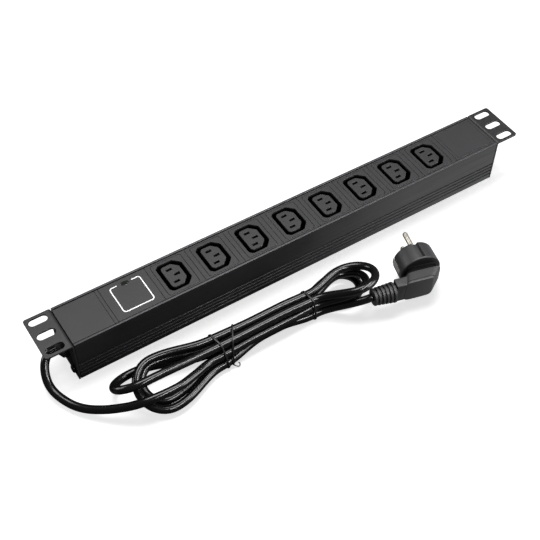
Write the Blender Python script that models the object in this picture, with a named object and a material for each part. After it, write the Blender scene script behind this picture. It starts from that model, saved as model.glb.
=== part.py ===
"""Rack power strip: a one-unit aluminium trough with eight appliance outlets,
a surge protected section, rack ears at both ends and a mains lead tied in a hank.

The strip lies on its back along X with its outlets up. The lead leaves the
end at -X and lies in front of the strip, on the -Y side. All sizes are in
millimetres; MM turns them into Blender's metres where a mesh is made.
"""
import bpy
import bmesh
from math import cos, hypot, pi, radians, sin
from mathutils import Matrix, Vector

MM = 0.001
GAP = 0.3                   # clearance between pieces that seat on each other

# Housing
PANEL_WIDTH = 482.6         # over the rack ears, the 19-inch panel width
EAR_REACH = 24.7            # from the housing's end to the end of an ear
BODY_LENGTH = PANEL_WIDTH - 2 * EAR_REACH
BODY_WIDTH = 44.0
BODY_HEIGHT = 45.4
WALL = 2.2
FLOOR = 2.2
LIP_WIDTH = 1.5             # edge of the side wall that shows beside the face plates
LIP_RISE = 2.3              # from the ledge that carries the plates to the wall's top
LEDGE_REACH = 4.0           # from the outer side to the ledge's inner edge
LEDGE_THICKNESS = 1.8
GROOVE_COUNT = 4
GROOVE_PITCH = 4.2
GROOVE_WIDTH = 2.2
GROOVE_FLOOR_WIDTH = 1.2
GROOVE_DEPTH = 0.9
GROOVE_LOWEST = 6.3
PORT_WALL = 3.0             # metal round a screw port

# End brackets and their screws
BRACKET_THICKNESS = 1.8
BEND_INNER_RADIUS = 0.8
EAR_CORNER_RADIUS = 2.2
RACK_HOLE_PITCH = 15.875
SLOT_INSET = 11.0           # from the ear's end to the middle of its slots
SLOT_ROW_X = PANEL_WIDTH / 2 - SLOT_INSET
SLOT_LENGTH = 16.2
SLOT_WIDTH = 7.0
SCREW_Y = 15.2
SCREW_Z = 7.8
SCREW_RADIUS = 1.5
SCREW_LENGTH = 11.0
SCREW_HEAD_RADIUS = 3.7
SCREW_HEAD_HEIGHT = 2.4

# Face plates
PLATE_THICKNESS = 1.5
SURGE_PLATE_WIDTH = 42.8
OUTLET_COUNT = 8
OUTLET_PITCH = 38.12
OUTLET_ROW_MIDDLE = 18.88   # of the eight outlet plates, along the strip

# Outlets
INSERT_WIDTH = 28.8         # along the strip
INSERT_LENGTH = 35.2        # across the strip
INSERT_CORNER_RADIUS = 2.0
WELL_WIDTH = 22.8
WELL_LENGTH = 30.6
WELL_DEPTH = 16.0
WELL_CHAMFER = 6.4
WELL_CORNER = 3.0
CORE_WIDTH = 15.6
CORE_LENGTH = 23.8
CORE_CHAMFER = 5.4
CORE_CORNER = 1.8
CORE_RECESS = 0.2           # the core's face lies this much below the insert's
BASE_THICKNESS = 2.6
CONTACT_SLOT_LENGTH = 5.0
CONTACT_SLOT_WIDTH = 2.2
CONTACT_SPREAD = 7.0        # line and neutral slots, each side of the middle
CONTACT_SHIFT = -1.8        # line and neutral slots along the strip
EARTH_SHIFT = 2.2           # earth slot along the strip

# Contact bars
BAR_THICKNESS = 1.2
BAR_HEIGHT = 5.0
TOOTH_RISE = 11.5
TOOTH_WIDTH = 4.0
BAR_OVERHANG = 4.0          # bar past the first and last tooth

# Surge board
BOARD_LENGTH = 33.0
BOARD_WIDTH = 32.0
BOARD_THICKNESS = 1.6
POST_RADIUS = 3.0
POST_LENGTH = 10.0
POST_INSET = 5.0            # from the board's ends and from its front edge
VARISTOR_COUNT = 3
VARISTOR_PITCH = 8.0
VARISTOR_RADIUS = 6.0
VARISTOR_THICKNESS = 4.5
VARISTOR_Y = -4.0
LENS_LENGTH = 5.6
LENS_WIDTH = 2.8
LENS_PROUD = 0.3
LENS_SHIFT = 1.0            # along the strip, from the middle of the surge plate
LENS_Y = 13.8

# Gland where the lead enters
CORD_DIAMETER = 7.2
GLAND_Y = 0.0
GLAND_Z = 21.5
GLAND_BARREL_RADIUS = 7.0
GLAND_BARREL_LENGTH = 12.0  # inside the housing
GLAND_HEAD_RADIUS = 10.0
GLAND_HEAD_LENGTH = 4.4
GLAND_NOSE_RADIUS = 5.2
GLAND_NOSE_LENGTH = 2.4
NUT_RADIUS = 10.5
NUT_LENGTH = 5.0
LEAD_RADIUS = 1.2           # inner leads from the lead's end to the contact bars
LEAD_Z = 7.0

# Hank: seven runs through two waists, with three turns at each end
HANK_LEFT = -114.0
HANK_RIGHT = -20.0
ROW_STEP = 7.8
ROW_0 = 4.5
ROW_1 = ROW_0 + ROW_STEP
ROW_2 = ROW_1 + ROW_STEP
# (y, z) of each run at the left waist and at the right one
LEFT_PLACES = {
    "bottom_front": (-75.4, ROW_0),
    "bottom_middle": (-67.4, ROW_0),
    "bottom_back": (-59.4, ROW_0),
    "middle_front": (-71.8, ROW_1),
    "middle_back": (-58.5, ROW_1),
    "top_front": (-67.0, ROW_2),
    "top_back": (-57.5, ROW_2),
}
RIGHT_PLACES = {
    "bottom_front": (-71.7, ROW_0),
    "bottom_middle": (-61.7, ROW_0),
    "bottom_back": (-52.6, ROW_0),
    "middle_front": (-69.6, ROW_1),
    "middle_back": (-61.1, ROW_1),
    "top_front": (-68.3, ROW_2),
    "top_back": (-60.5, ROW_2),
}
# (y, z) of each run between the waists, where the hank is drawn tighter
ROW_DRAWN = 19.1
MIDDLE_PLACES = {
    "bottom_front": (-67.2, ROW_0),
    "bottom_middle": (-59.1, ROW_0),
    "bottom_back": (-51.0, ROW_0),
    "middle_front": (-70.3, ROW_1),
    "middle_back": (-62.3, ROW_1),
    "top_front": (-66.4, ROW_DRAWN),
    "top_back": (-58.4, ROW_DRAWN),
}
DRAW_LEFT = 0.5             # shares of a run over which it is drawn in from each waist
DRAW_RIGHT = 0.35
RUN_SHARES = (0.12, 0.25, 0.38, 0.5, 0.65, 0.77, 0.88)
# Each turn: run in, run out, x where its round end starts, x of its tip,
# and (y, z) of the two sides there.
TURNS = (
    ("middle_front", "middle_back", 13.9, 32.4, (-82.1, 21.5), (-51.6, 11.9)),
    ("middle_back", "bottom_middle", -165.0, -181.2, (-48.0, 12.5), (-81.0, 4.5)),
    ("bottom_middle", "bottom_back", 13.0, 31.1, (-76.2, 4.2), (-45.4, 4.2)),
    ("bottom_back", "top_front", -182.0, -202.5, (-42.0, 4.5), (-70.5, 28.4)),
    ("top_front", "top_back", 15.5, 37.2, (-89.1, 34.1), (-53.5, 21.1)),
    ("top_back", "bottom_front", -166.0, -187.6, (-48.6, 20.6), (-90.5, 6.2)),
)
EASE_STEPS = 3
ARC_STEPS = 5
TIE_WIDTH = 1.6
TIE_THICKNESS = 0.5
TIE_GAP = 0.35
TIE_POINTS = 40
# x of each tie at the middle of the hank, and its slant along y
TIES = {"tie_left": (-112.5, -0.15), "tie_middle": (-98.0, 0.55), "tie_right": (-23.5, -0.11)}

# Free stretches of the lead, through points chosen by hand
GLAND_MOUTH_X = -(BODY_LENGTH / 2 + GAP + BRACKET_THICKNESS + GAP + GLAND_HEAD_LENGTH + GLAND_NOSE_LENGTH)
LEAD_IN_DEPTH = 20.0        # end of the lead inside the housing, from the gland's mouth
LEAD_IN_REACH = HANK_LEFT - GLAND_MOUTH_X
# The way from the gland to the hank: share of the reach along X, then y and z
LEAD_IN_WAY = (
    (-0.038, -0.1, 21.3),
    (-0.068, -0.8, 20.4),
    (-0.097, -2.8, 18.7),
    (-0.125, -6.7, 15.9),
    (-0.147, -12.7, 12.4),
    (-0.156, -19.4, 9.4),
    (-0.148, -27.1, 7.2),
    (-0.120, -36.2, 6.0),
    (-0.074, -46.1, 5.6),
    (-0.012, -54.9, 6.6),
    (0.083, -64.6, 9.6),
    (0.175, -72.2, 13.4),
    (0.263, -78.1, 17.0),
    (0.360, -82.1, 20.2),
    (0.589, -83.4, 20.0),
    (0.763, -77.8, 16.0),
    (0.875, -73.0, 12.9),
)
LEAD_OUT_PULL = 13.2        # how far the lead runs on from the hank before it bends away
LEAD_OUT_REACH = 13.5       # how far it runs up to the plug's strain relief
LEAD_OUT_DROP = 3.4         # how far below the relief it comes up from
LEAD_OUT_STRAIGHT = 1.6     # last straight bit, square to the relief's end
LEAD_OUT_STEPS = 16
SMOOTH_STEPS = 3            # tube rings between two points of a free stretch

# Plug: r runs back from the pin face, p along the cable, w up
PLUG_FACE = (80.8, -72.5, 19.0)
PLUG_YAW = radians(14.5)
PLUG_POINTS = 40
# Sections of the moulded body: distance behind the pin face, half width
# along the cable, its middle there, half height and squareness.
PLUG_SECTIONS = (
    (0.0, 16.6, 0.0, 16.6, 2.0),
    (1.6, 18.2, 0.0, 18.2, 2.0),
    (19.4, 18.6, 0.0, 18.6, 2.0),
    (20.2, 15.0, -0.3, 9.6, 3.2),
    (24.8, 15.0, -0.3, 9.6, 3.2),
    (25.6, 16.4, -1.2, 11.6, 6.0),
    (36.0, 13.4, -8.6, 11.8, 6.0),
    (36.9, 12.6, -8.8, 11.0, 6.0),
)
COLLAR_NEAR = 12.0          # block that carries the strain relief, along the cable
COLLAR_FAR = 29.4
COLLAR_HALF_HEIGHT = 10.2
COLLAR_FRONT = 27.2         # distances behind the pin face
COLLAR_BACK = 36.6
RELIEF_BEHIND = 33.0
PIN_SPREAD = 9.5
PIN_RADIUS = 2.4
PIN_LENGTH = 19.0
PIN_ROOT = 8.0
GUIDE_WIDTH = 5.2
GUIDE_DEPTH = 2.4
GUIDE_LENGTH = 17.5
CLIP_WIDTH = 7.0
CLIP_THICKNESS = 1.0
CLIP_LENGTH = 15.0
CLIP_POCKET_DEPTH = 2.2
RELIEF_LENGTH = 20.6
RELIEF_ROOT_RADIUS = 9.2
RELIEF_TIP_RADIUS = 7.5
RELIEF_RIBS = 6
RIB_DEPTH = 1.5

# Colours, roughness and metallic value of the finishes
FINISHES = {
    "black_paint": ((0.022, 0.022, 0.024), 0.45, 0.0),
    "face_plastic": ((0.045, 0.045, 0.047), 0.5, 0.0),
    "well_plastic": ((0.012, 0.012, 0.013), 0.6, 0.0),
    "lens": ((0.02, 0.03, 0.02), 0.15, 0.0),
    "screw_black": ((0.015, 0.015, 0.016), 0.35, 0.6),
    "cord_black": ((0.012, 0.012, 0.013), 0.3, 0.0),
    "plug_black": ((0.03, 0.03, 0.032), 0.5, 0.0),
    "bright_metal": ((0.75, 0.74, 0.72), 0.25, 1.0),
    "contact_brass": ((0.72, 0.55, 0.25), 0.35, 1.0),
    "board_green": ((0.03, 0.16, 0.07), 0.5, 0.0),
    "varistor_blue": ((0.04, 0.10, 0.35), 0.5, 0.0),
    "lead_brown": ((0.20, 0.08, 0.03), 0.5, 0.0),
    "lead_blue": ((0.03, 0.12, 0.45), 0.5, 0.0),
    "lead_green": ((0.10, 0.35, 0.06), 0.5, 0.0),
}

# Places worked out from the sizes above
HALF_BODY = BODY_LENGTH / 2
HALF_WIDTH = BODY_WIDTH / 2
LEDGE_TOP = BODY_HEIGHT - LIP_RISE
PLATE_BOTTOM = LEDGE_TOP + GAP
FACE = PLATE_BOTTOM + PLATE_THICKNESS
PLATE_HALF_WIDTH = HALF_WIDTH - LIP_WIDTH - GAP
LEG_INNER = HALF_BODY + GAP
LEG_OUTER = LEG_INNER + BRACKET_THICKNESS
HOLE_RADIUS = SCREW_RADIUS + GAP
OUTLET_ROW_START = OUTLET_ROW_MIDDLE - OUTLET_PITCH * OUTLET_COUNT / 2
OUTLET_XS = [OUTLET_ROW_START + OUTLET_PITCH * (k + 0.5) for k in range(OUTLET_COUNT)]
OUTLET_ROW_END = OUTLET_ROW_START + OUTLET_PITCH * OUTLET_COUNT
SURGE_START = OUTLET_ROW_START - SURGE_PLATE_WIDTH
WELL_FLOOR = FACE - WELL_DEPTH
INSERT_BOTTOM = WELL_FLOOR + GAP
BASE_BOTTOM = WELL_FLOOR - BASE_THICKNESS
BAR_TOP = BASE_BOTTOM - GAP
BAR_BOTTOM = BAR_TOP - BAR_HEIGHT
BOARD_TOP = PLATE_BOTTOM - POST_LENGTH - GAP
BOARD_BOTTOM = BOARD_TOP - BOARD_THICKNESS
SURGE_MIDDLE = (SURGE_START + OUTLET_ROW_START) / 2
LENS_X = SURGE_MIDDLE + LENS_SHIFT
CORD_RADIUS = CORD_DIAMETER / 2

PLUG_PINS = Vector((sin(PLUG_YAW), cos(PLUG_YAW), 0.0))
PLUG_CABLE = Vector((cos(PLUG_YAW), -sin(PLUG_YAW), 0.0))
PLUG_UP = Vector((0.0, 0.0, 1.0))


# Helpers

def clear_scene():
    for thing in list(bpy.data.objects):
        bpy.data.objects.remove(thing, do_unlink=True)


def finish(name):
    """The Principled material of one finish, made once."""
    material = bpy.data.materials.get(name)
    if material:
        return material
    colour, roughness, metallic = FINISHES[name]
    material = bpy.data.materials.new(name)
    material.use_nodes = True
    shader = material.node_tree.nodes["Principled BSDF"]
    shader.inputs["Base Color"].default_value = (*colour, 1.0)
    shader.inputs["Roughness"].default_value = roughness
    shader.inputs["Metallic"].default_value = metallic
    return material


def mesh_of(bm, name="shape"):
    """A mesh in metres from a bmesh in millimetres."""
    bmesh.ops.transform(bm, matrix=Matrix.Scale(MM, 4), verts=bm.verts)
    bmesh.ops.recalc_face_normals(bm, faces=bm.faces)
    mesh = bpy.data.meshes.new(name)
    bm.to_mesh(mesh)
    bm.free()
    return mesh


def add_piece(name, mesh, material, x=0.0):
    """Link one sub-part, set along the strip at x."""
    mesh.name = name if mesh.users == 0 else mesh.name
    piece = bpy.data.objects.new(name, mesh)
    piece.location = (x * MM, 0.0, 0.0)
    if not mesh.materials:
        mesh.materials.append(finish(material))
    bpy.context.scene.collection.objects.link(piece)
    mesh.shade_smooth()
    mesh.set_sharp_from_angle(angle=radians(35.0))
    return piece


def combine(mesh, other, operation):
    """The mesh after a Boolean with the other one."""
    scene = bpy.context.scene
    target = bpy.data.objects.new("target", mesh)
    tool = bpy.data.objects.new("tool", other)
    for thing in (target, tool):
        scene.collection.objects.link(thing)
    cut = target.modifiers.new("cut", "BOOLEAN")
    cut.operation = operation
    cut.object = tool
    graph = bpy.context.evaluated_depsgraph_get()
    result = bpy.data.meshes.new_from_object(target.evaluated_get(graph))
    for thing in (target, tool):
        bpy.data.objects.remove(thing, do_unlink=True)
    return result


def cut_away(mesh, *others):
    for other in others:
        mesh = combine(mesh, other, "DIFFERENCE")
    return mesh


def prism(outline, low, high, axis="Z"):
    """A closed prism over an outline that runs anticlockwise about the axis."""
    place = {
        "X": lambda a, b, h: (h, a, b),
        "Y": lambda a, b, h: (b, h, a),
        "Z": lambda a, b, h: (a, b, h),
    }[axis]
    bm = bmesh.new()
    base = [bm.verts.new(place(a, b, low)) for a, b in outline]
    top = [bm.verts.new(place(a, b, high)) for a, b in outline]
    bm.faces.new(list(reversed(base)))
    bm.faces.new(top)
    for i in range(len(outline)):
        j = (i + 1) % len(outline)
        bm.faces.new((base[i], base[j], top[j], top[i]))
    return mesh_of(bm)


def arc(cx, cy, radius, start, end, steps):
    """Points on an arc, angles in degrees."""
    angles = [radians(start + (end - start) * i / steps) for i in range(steps + 1)]
    return [(cx + radius * cos(a), cy + radius * sin(a)) for a in angles]


def rounded_box(x0, x1, y0, y1, radius, steps=4):
    return (arc(x1 - radius, y0 + radius, radius, -90, 0, steps)
            + arc(x1 - radius, y1 - radius, radius, 0, 90, steps)
            + arc(x0 + radius, y1 - radius, radius, 90, 180, steps)
            + arc(x0 + radius, y0 + radius, radius, 180, 270, steps))


def rectangle(x0, x1, y0, y1):
    return [(x0, y0), (x1, y0), (x1, y1), (x0, y1)]


def circle(cx, cy, radius, sides=16):
    return arc(cx, cy, radius, 0, 360 - 360 / sides, sides - 1)


def stadium(cx, cy, length, width, steps=8):
    """A slot outline that runs along its first axis."""
    half, radius = (length - width) / 2, width / 2
    return (arc(cx + half, cy, radius, -90, 90, steps)
            + arc(cx - half, cy, radius, 90, 270, steps))


def socket_outline(width, length, chamfer, corner):
    """The appliance coupler's shape: two chamfered corners towards +X."""
    x, y = width / 2, length / 2
    return [(-x, -y + corner), (-x + corner, -y), (x - chamfer, -y), (x, -y + chamfer),
            (x, y - chamfer), (x - chamfer, y), (-x + corner, y), (-x, y - corner)]


def turned(profile, origin, axis, side, sides=20):
    """A solid turned about an axis; profile is (along, radius), and a profile
    that starts and ends at one radius above zero closes into a ring."""
    axis, side = Vector(axis).normalized(), Vector(side).normalized()
    other = axis.cross(side)
    bm = bmesh.new()
    rings = []
    for along, radius in profile:
        middle = Vector(origin) + axis * along
        if radius == 0.0:
            rings.append([bm.verts.new(middle)])
            continue
        rings.append([bm.verts.new(middle + (side * cos(a) + other * sin(a)) * radius)
                      for a in (2 * pi * i / sides for i in range(sides))])
    closed = profile[0][1] > 0.0
    pairs = list(zip(rings, rings[1:])) + ([(rings[-1], rings[0])] if closed else [])
    for first, second in pairs:
        for i in range(sides):
            j = (i + 1) % sides
            face = [first[i % len(first)], first[j % len(first)],
                    second[j % len(second)], second[i % len(second)]]
            bm.faces.new(list(dict.fromkeys(face)))
    return mesh_of(bm)


def tube(name, points, radius, material, bevel_resolution):
    """A round tube with filled caps along a polyline."""
    curve = bpy.data.curves.new(name, "CURVE")
    curve.dimensions = "3D"
    curve.bevel_depth = radius * MM
    curve.bevel_resolution = bevel_resolution
    curve.use_fill_caps = True
    curve.twist_mode = "MINIMUM"
    spline = curve.splines.new("POLY")
    spline.points.add(len(points) - 1)
    for target, point in zip(spline.points, points):
        target.co = (*(Vector(point) * MM), 1.0)
    curve.materials.append(finish(material))
    piece = bpy.data.objects.new(name, curve)
    bpy.context.scene.collection.objects.link(piece)
    return piece


def smooth_route(points, steps):
    """A centripetal Catmull-Rom curve through the points."""
    route = [Vector(p) for p in points]
    ends = [2 * route[0] - route[1]] + route + [2 * route[-1] - route[-2]]
    out = []
    for a, b, c, d in zip(ends, ends[1:], ends[2:], ends[3:]):
        ta, tb = 0.0, (b - a).length ** 0.5
        tc = tb + (c - b).length ** 0.5
        td = tc + (d - c).length ** 0.5
        for i in range(steps):
            t = tb + (tc - tb) * i / steps
            ab = a.lerp(b, (t - ta) / (tb - ta))
            bc = b.lerp(c, (t - tb) / (tc - tb))
            cd = c.lerp(d, (t - tc) / (td - tc))
            abc = ab.lerp(bc, (t - ta) / (tc - ta))
            bcd = bc.lerp(cd, (t - tb) / (td - tb))
            out.append(abc.lerp(bcd, (t - tb) / (tc - tb)))
    return out + [route[-1]]


def bezier_route(start, pull, reach, end, steps):
    """A cubic curve between two points and their handles."""
    out = []
    for i in range(steps + 1):
        t = i / steps
        out.append(start * (1 - t) ** 3 + pull * (3 * t * (1 - t) ** 2) + reach * (3 * t * t * (1 - t)) + end * t ** 3)
    return out


# Housing and brackets

def housing_channel():
    """The extruded trough, open at the top, with grooved sides and screw ports."""
    port_inner = SCREW_Y - HOLE_RADIUS - PORT_WALL
    port_top = SCREW_Z + HOLE_RADIUS + PORT_WALL
    inside = HALF_WIDTH - WALL
    half = [(HALF_WIDTH, 0.0)]
    for k in range(GROOVE_COUNT):
        z = GROOVE_LOWEST + GROOVE_PITCH * k
        half += [(HALF_WIDTH, z - GROOVE_WIDTH / 2), (HALF_WIDTH - GROOVE_DEPTH, z - GROOVE_FLOOR_WIDTH / 2),
                 (HALF_WIDTH - GROOVE_DEPTH, z + GROOVE_FLOOR_WIDTH / 2), (HALF_WIDTH, z + GROOVE_WIDTH / 2)]
    half += [(HALF_WIDTH, BODY_HEIGHT), (HALF_WIDTH - LIP_WIDTH, BODY_HEIGHT),
             (HALF_WIDTH - LIP_WIDTH, LEDGE_TOP), (HALF_WIDTH - LEDGE_REACH, LEDGE_TOP),
             (HALF_WIDTH - LEDGE_REACH, LEDGE_TOP - LEDGE_THICKNESS), (inside, LEDGE_TOP - LEDGE_THICKNESS),
             (inside, port_top), (port_inner, port_top), (port_inner, FLOOR)]
    outline = half + [(-y, z) for y, z in reversed(half)]
    mesh = prism(outline, -HALF_BODY, HALF_BODY, "X")
    ports = [prism(circle(side * SCREW_Y, SCREW_Z, HOLE_RADIUS, 12), -HALF_BODY - 1, HALF_BODY + 1, "X")
             for side in (-1, 1)]
    add_piece("housing_channel", cut_away(mesh, *ports), "black_paint")


def end_bracket(name, side):
    """An angle: a leg over the housing's end and a slotted rack ear level with its top."""
    bend_outer = BEND_INNER_RADIUS + BRACKET_THICKNESS
    ear_end = PANEL_WIDTH / 2
    under = BODY_HEIGHT - BRACKET_THICKNESS
    inner = [(z, x) for x, z in arc(LEG_OUTER + BEND_INNER_RADIUS, under - BEND_INNER_RADIUS,
                                    BEND_INNER_RADIUS, 180, 90, 4)]
    outer = [(z, x) for x, z in arc(LEG_INNER + bend_outer, BODY_HEIGHT - bend_outer, bend_outer, 90, 180, 6)]
    profile = ([(0.0, LEG_INNER), (0.0, LEG_OUTER)] + inner + [(under, ear_end), (BODY_HEIGHT, ear_end)] + outer)
    if side < 0:
        profile = [(z, -x) for z, x in profile]
    mesh = prism(profile, -HALF_WIDTH, HALF_WIDTH, "Y")
    reach = (LEG_INNER - 1.0, ear_end)
    corners = rounded_box(reach[0] - EAR_CORNER_RADIUS, reach[1], -HALF_WIDTH, HALF_WIDTH, EAR_CORNER_RADIUS)
    if side < 0:
        corners = [(-x, -y) for x, y in corners]
    mesh = combine(mesh, prism(corners, -1.0, BODY_HEIGHT + 1.0), "INTERSECT")
    for k in (-1, 0, 1):
        slot = stadium(side * SLOT_ROW_X, k * RACK_HOLE_PITCH, SLOT_LENGTH, SLOT_WIDTH)
        mesh = cut_away(mesh, prism(slot, under - 1.0, BODY_HEIGHT + 1.0))
    span = sorted((side * (LEG_INNER - 1.0), side * (LEG_OUTER + 1.0)))
    for end in (-1, 1):
        mesh = cut_away(mesh, prism(circle(end * SCREW_Y, SCREW_Z, HOLE_RADIUS, 12), *span, "X"))
    if side < 0:
        mesh = cut_away(mesh, prism(circle(GLAND_Y, GLAND_Z, GLAND_BARREL_RADIUS + GAP, 24), *span, "X"))
    add_piece(name, mesh, "black_paint")


def end_screws():
    """Pan-head screws through the bracket legs into the housing's screw ports."""
    head = SCREW_HEAD_HEIGHT
    profile = [(-SCREW_LENGTH, 0.0), (-SCREW_LENGTH, SCREW_RADIUS), (0.0, SCREW_RADIUS), (0.0, SCREW_HEAD_RADIUS),
               (0.45 * head, SCREW_HEAD_RADIUS), (0.85 * head, 0.75 * SCREW_HEAD_RADIUS),
               (head, 0.4 * SCREW_HEAD_RADIUS), (head, 0.0)]
    for side, end in ((-1, "left"), (1, "right")):
        for row, place in ((-1, "front"), (1, "back")):
            origin = (side * (LEG_OUTER + GAP), row * SCREW_Y, SCREW_Z)
            mesh = turned(profile, origin, (side, 0, 0), (0, 1, 0), 14)
            add_piece(f"end_screw_{end}_{place}", mesh, "screw_black")


# Face plates and outlets

def plain_plate(name, x0, x1):
    outline = rectangle(x0, x1, -PLATE_HALF_WIDTH, PLATE_HALF_WIDTH)
    add_piece(name, prism(outline, PLATE_BOTTOM, FACE), "face_plastic")


def surge_plate():
    """Plate over the surge board, with two posts that carry the board and a hole for the lens."""
    outline = rectangle(SURGE_START + GAP, OUTLET_ROW_START, -PLATE_HALF_WIDTH, PLATE_HALF_WIDTH)
    mesh = prism(outline, PLATE_BOTTOM, FACE)
    for side in (-1, 1):
        x = SURGE_MIDDLE + side * (BOARD_LENGTH / 2 - POST_INSET)
        post = prism(circle(x, -BOARD_WIDTH / 2 + POST_INSET, POST_RADIUS), PLATE_BOTTOM - POST_LENGTH, FACE - GAP)
        mesh = combine(mesh, post, "UNION")
    hole = stadium(LENS_X, LENS_Y, LENS_LENGTH + 2 * GAP, LENS_WIDTH + 2 * GAP, 6)
    mesh = cut_away(mesh, prism(hole, PLATE_BOTTOM - 1.0, FACE + 1.0))
    add_piece("surge_plate", mesh, "face_plastic")


def indicator_lens():
    """Light pipe from the surge board up through the plate."""
    outline = stadium(LENS_X, LENS_Y, LENS_LENGTH, LENS_WIDTH, 6)
    add_piece("indicator_lens", prism(outline, BOARD_TOP + GAP, FACE + LENS_PROUD), "lens")


def surge_board():
    """Circuit board under the surge plate and the varistors below it."""
    outline = rectangle(SURGE_MIDDLE - BOARD_LENGTH / 2, SURGE_MIDDLE + BOARD_LENGTH / 2,
                        -BOARD_WIDTH / 2, BOARD_WIDTH / 2)
    add_piece("surge_board", prism(outline, BOARD_BOTTOM, BOARD_TOP), "board_green")
    z = BOARD_BOTTOM - GAP - VARISTOR_RADIUS
    for k in range(VARISTOR_COUNT):
        x = SURGE_MIDDLE + (k - (VARISTOR_COUNT - 1) / 2) * VARISTOR_PITCH - VARISTOR_THICKNESS / 2
        disc = prism(circle(VARISTOR_Y, z, VARISTOR_RADIUS, 24), x, x + VARISTOR_THICKNESS, "X")
        add_piece(f"varistor_{k + 1}", disc, "varistor_blue")


def outlet_meshes():
    """Plate, insert frame and contact carrier of one outlet, about x = 0."""
    opening = rounded_box(-INSERT_WIDTH / 2 - GAP, INSERT_WIDTH / 2 + GAP, -INSERT_LENGTH / 2 - GAP,
                          INSERT_LENGTH / 2 + GAP, INSERT_CORNER_RADIUS + GAP)
    plate = prism(rectangle(-OUTLET_PITCH / 2 + GAP, OUTLET_PITCH / 2, -PLATE_HALF_WIDTH, PLATE_HALF_WIDTH),
                  PLATE_BOTTOM, FACE)
    plate = cut_away(plate, prism(opening, PLATE_BOTTOM - 1.0, FACE + 1.0))

    insert = rounded_box(-INSERT_WIDTH / 2, INSERT_WIDTH / 2, -INSERT_LENGTH / 2, INSERT_LENGTH / 2,
                         INSERT_CORNER_RADIUS)
    well = socket_outline(WELL_WIDTH, WELL_LENGTH, WELL_CHAMFER, WELL_CORNER)
    frame = cut_away(prism(insert, INSERT_BOTTOM, FACE), prism(well, INSERT_BOTTOM - 1.0, FACE + 1.0))

    core = prism(socket_outline(CORE_WIDTH, CORE_LENGTH, CORE_CHAMFER, CORE_CORNER), BASE_BOTTOM + 1.0,
                 FACE - CORE_RECESS)
    carrier = combine(prism(insert, BASE_BOTTOM, WELL_FLOOR), core, "UNION")
    for x, y in contact_places():
        slot = rectangle(x - CONTACT_SLOT_LENGTH / 2, x + CONTACT_SLOT_LENGTH / 2,
                         y - CONTACT_SLOT_WIDTH / 2, y + CONTACT_SLOT_WIDTH / 2)
        carrier = cut_away(carrier, prism(slot, BASE_BOTTOM - 1.0, FACE + 1.0))
    return plate, frame, carrier


def contact_places():
    """Line, neutral and earth slot middles on an outlet."""
    return ((CONTACT_SHIFT, CONTACT_SPREAD), (CONTACT_SHIFT, -CONTACT_SPREAD), (EARTH_SHIFT, 0.0))


def outlets():
    plate, frame, carrier = outlet_meshes()
    for k, x in enumerate(OUTLET_XS, start=1):
        add_piece(f"outlet_plate_{k}", plate, "face_plastic", x)
        add_piece(f"outlet_frame_{k}", frame, "well_plastic", x)
        add_piece(f"outlet_core_{k}", carrier, "face_plastic", x)


def contact_bars():
    """One comb of metal per pole, its teeth standing in the outlets' slots."""
    for name, (shift, y) in zip(("line_bar", "neutral_bar", "earth_bar"), contact_places()):
        reach = TOOTH_WIDTH / 2 + BAR_OVERHANG
        x0, x1 = OUTLET_XS[0] + shift - reach, OUTLET_XS[-1] + shift + reach
        comb = [(x0, BAR_BOTTOM), (x1, BAR_BOTTOM), (x1, BAR_TOP)]
        for x in reversed(OUTLET_XS):
            right, left = x + shift + TOOTH_WIDTH / 2, x + shift - TOOTH_WIDTH / 2
            comb += [(right, BAR_TOP), (right, BAR_TOP + TOOTH_RISE), (left, BAR_TOP + TOOTH_RISE), (left, BAR_TOP)]
        comb += [(x0, BAR_TOP)]
        outline = [(z, x) for x, z in reversed(comb)]
        add_piece(name, prism(outline, y - BAR_THICKNESS / 2, y + BAR_THICKNESS / 2, "Y"), "contact_brass")


# Lead

def gland():
    """Tapered strain relief through the left bracket's leg, and its nut inside."""
    bore = CORD_RADIUS + GAP
    seat = LEG_OUTER + GAP
    barrel_start = HALF_BODY - GLAND_BARREL_LENGTH
    head_end = seat + GLAND_HEAD_LENGTH
    profile = [(barrel_start, bore), (barrel_start, GLAND_BARREL_RADIUS), (seat, GLAND_BARREL_RADIUS),
               (seat, GLAND_HEAD_RADIUS), (head_end, GLAND_HEAD_RADIUS - 1.0),
               (head_end + GLAND_NOSE_LENGTH, GLAND_NOSE_RADIUS), (head_end + GLAND_NOSE_LENGTH, bore)]
    mesh = turned(profile, (0, GLAND_Y, GLAND_Z), (-1, 0, 0), (0, 1, 0), 24)
    add_piece("cord_gland", mesh, "plug_black")
    hollow = GLAND_BARREL_RADIUS + GAP
    nut = [(HALF_BODY - NUT_LENGTH, hollow), (HALF_BODY - NUT_LENGTH, NUT_RADIUS), (HALF_BODY, NUT_RADIUS),
           (HALF_BODY, hollow)]
    shell = turned([(a, r) for a, r in nut], (0, GLAND_Y, GLAND_Z), (-1, 0, 0), (0, 1, 0), 18)
    add_piece("gland_nut", shell, "plug_black")


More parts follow.
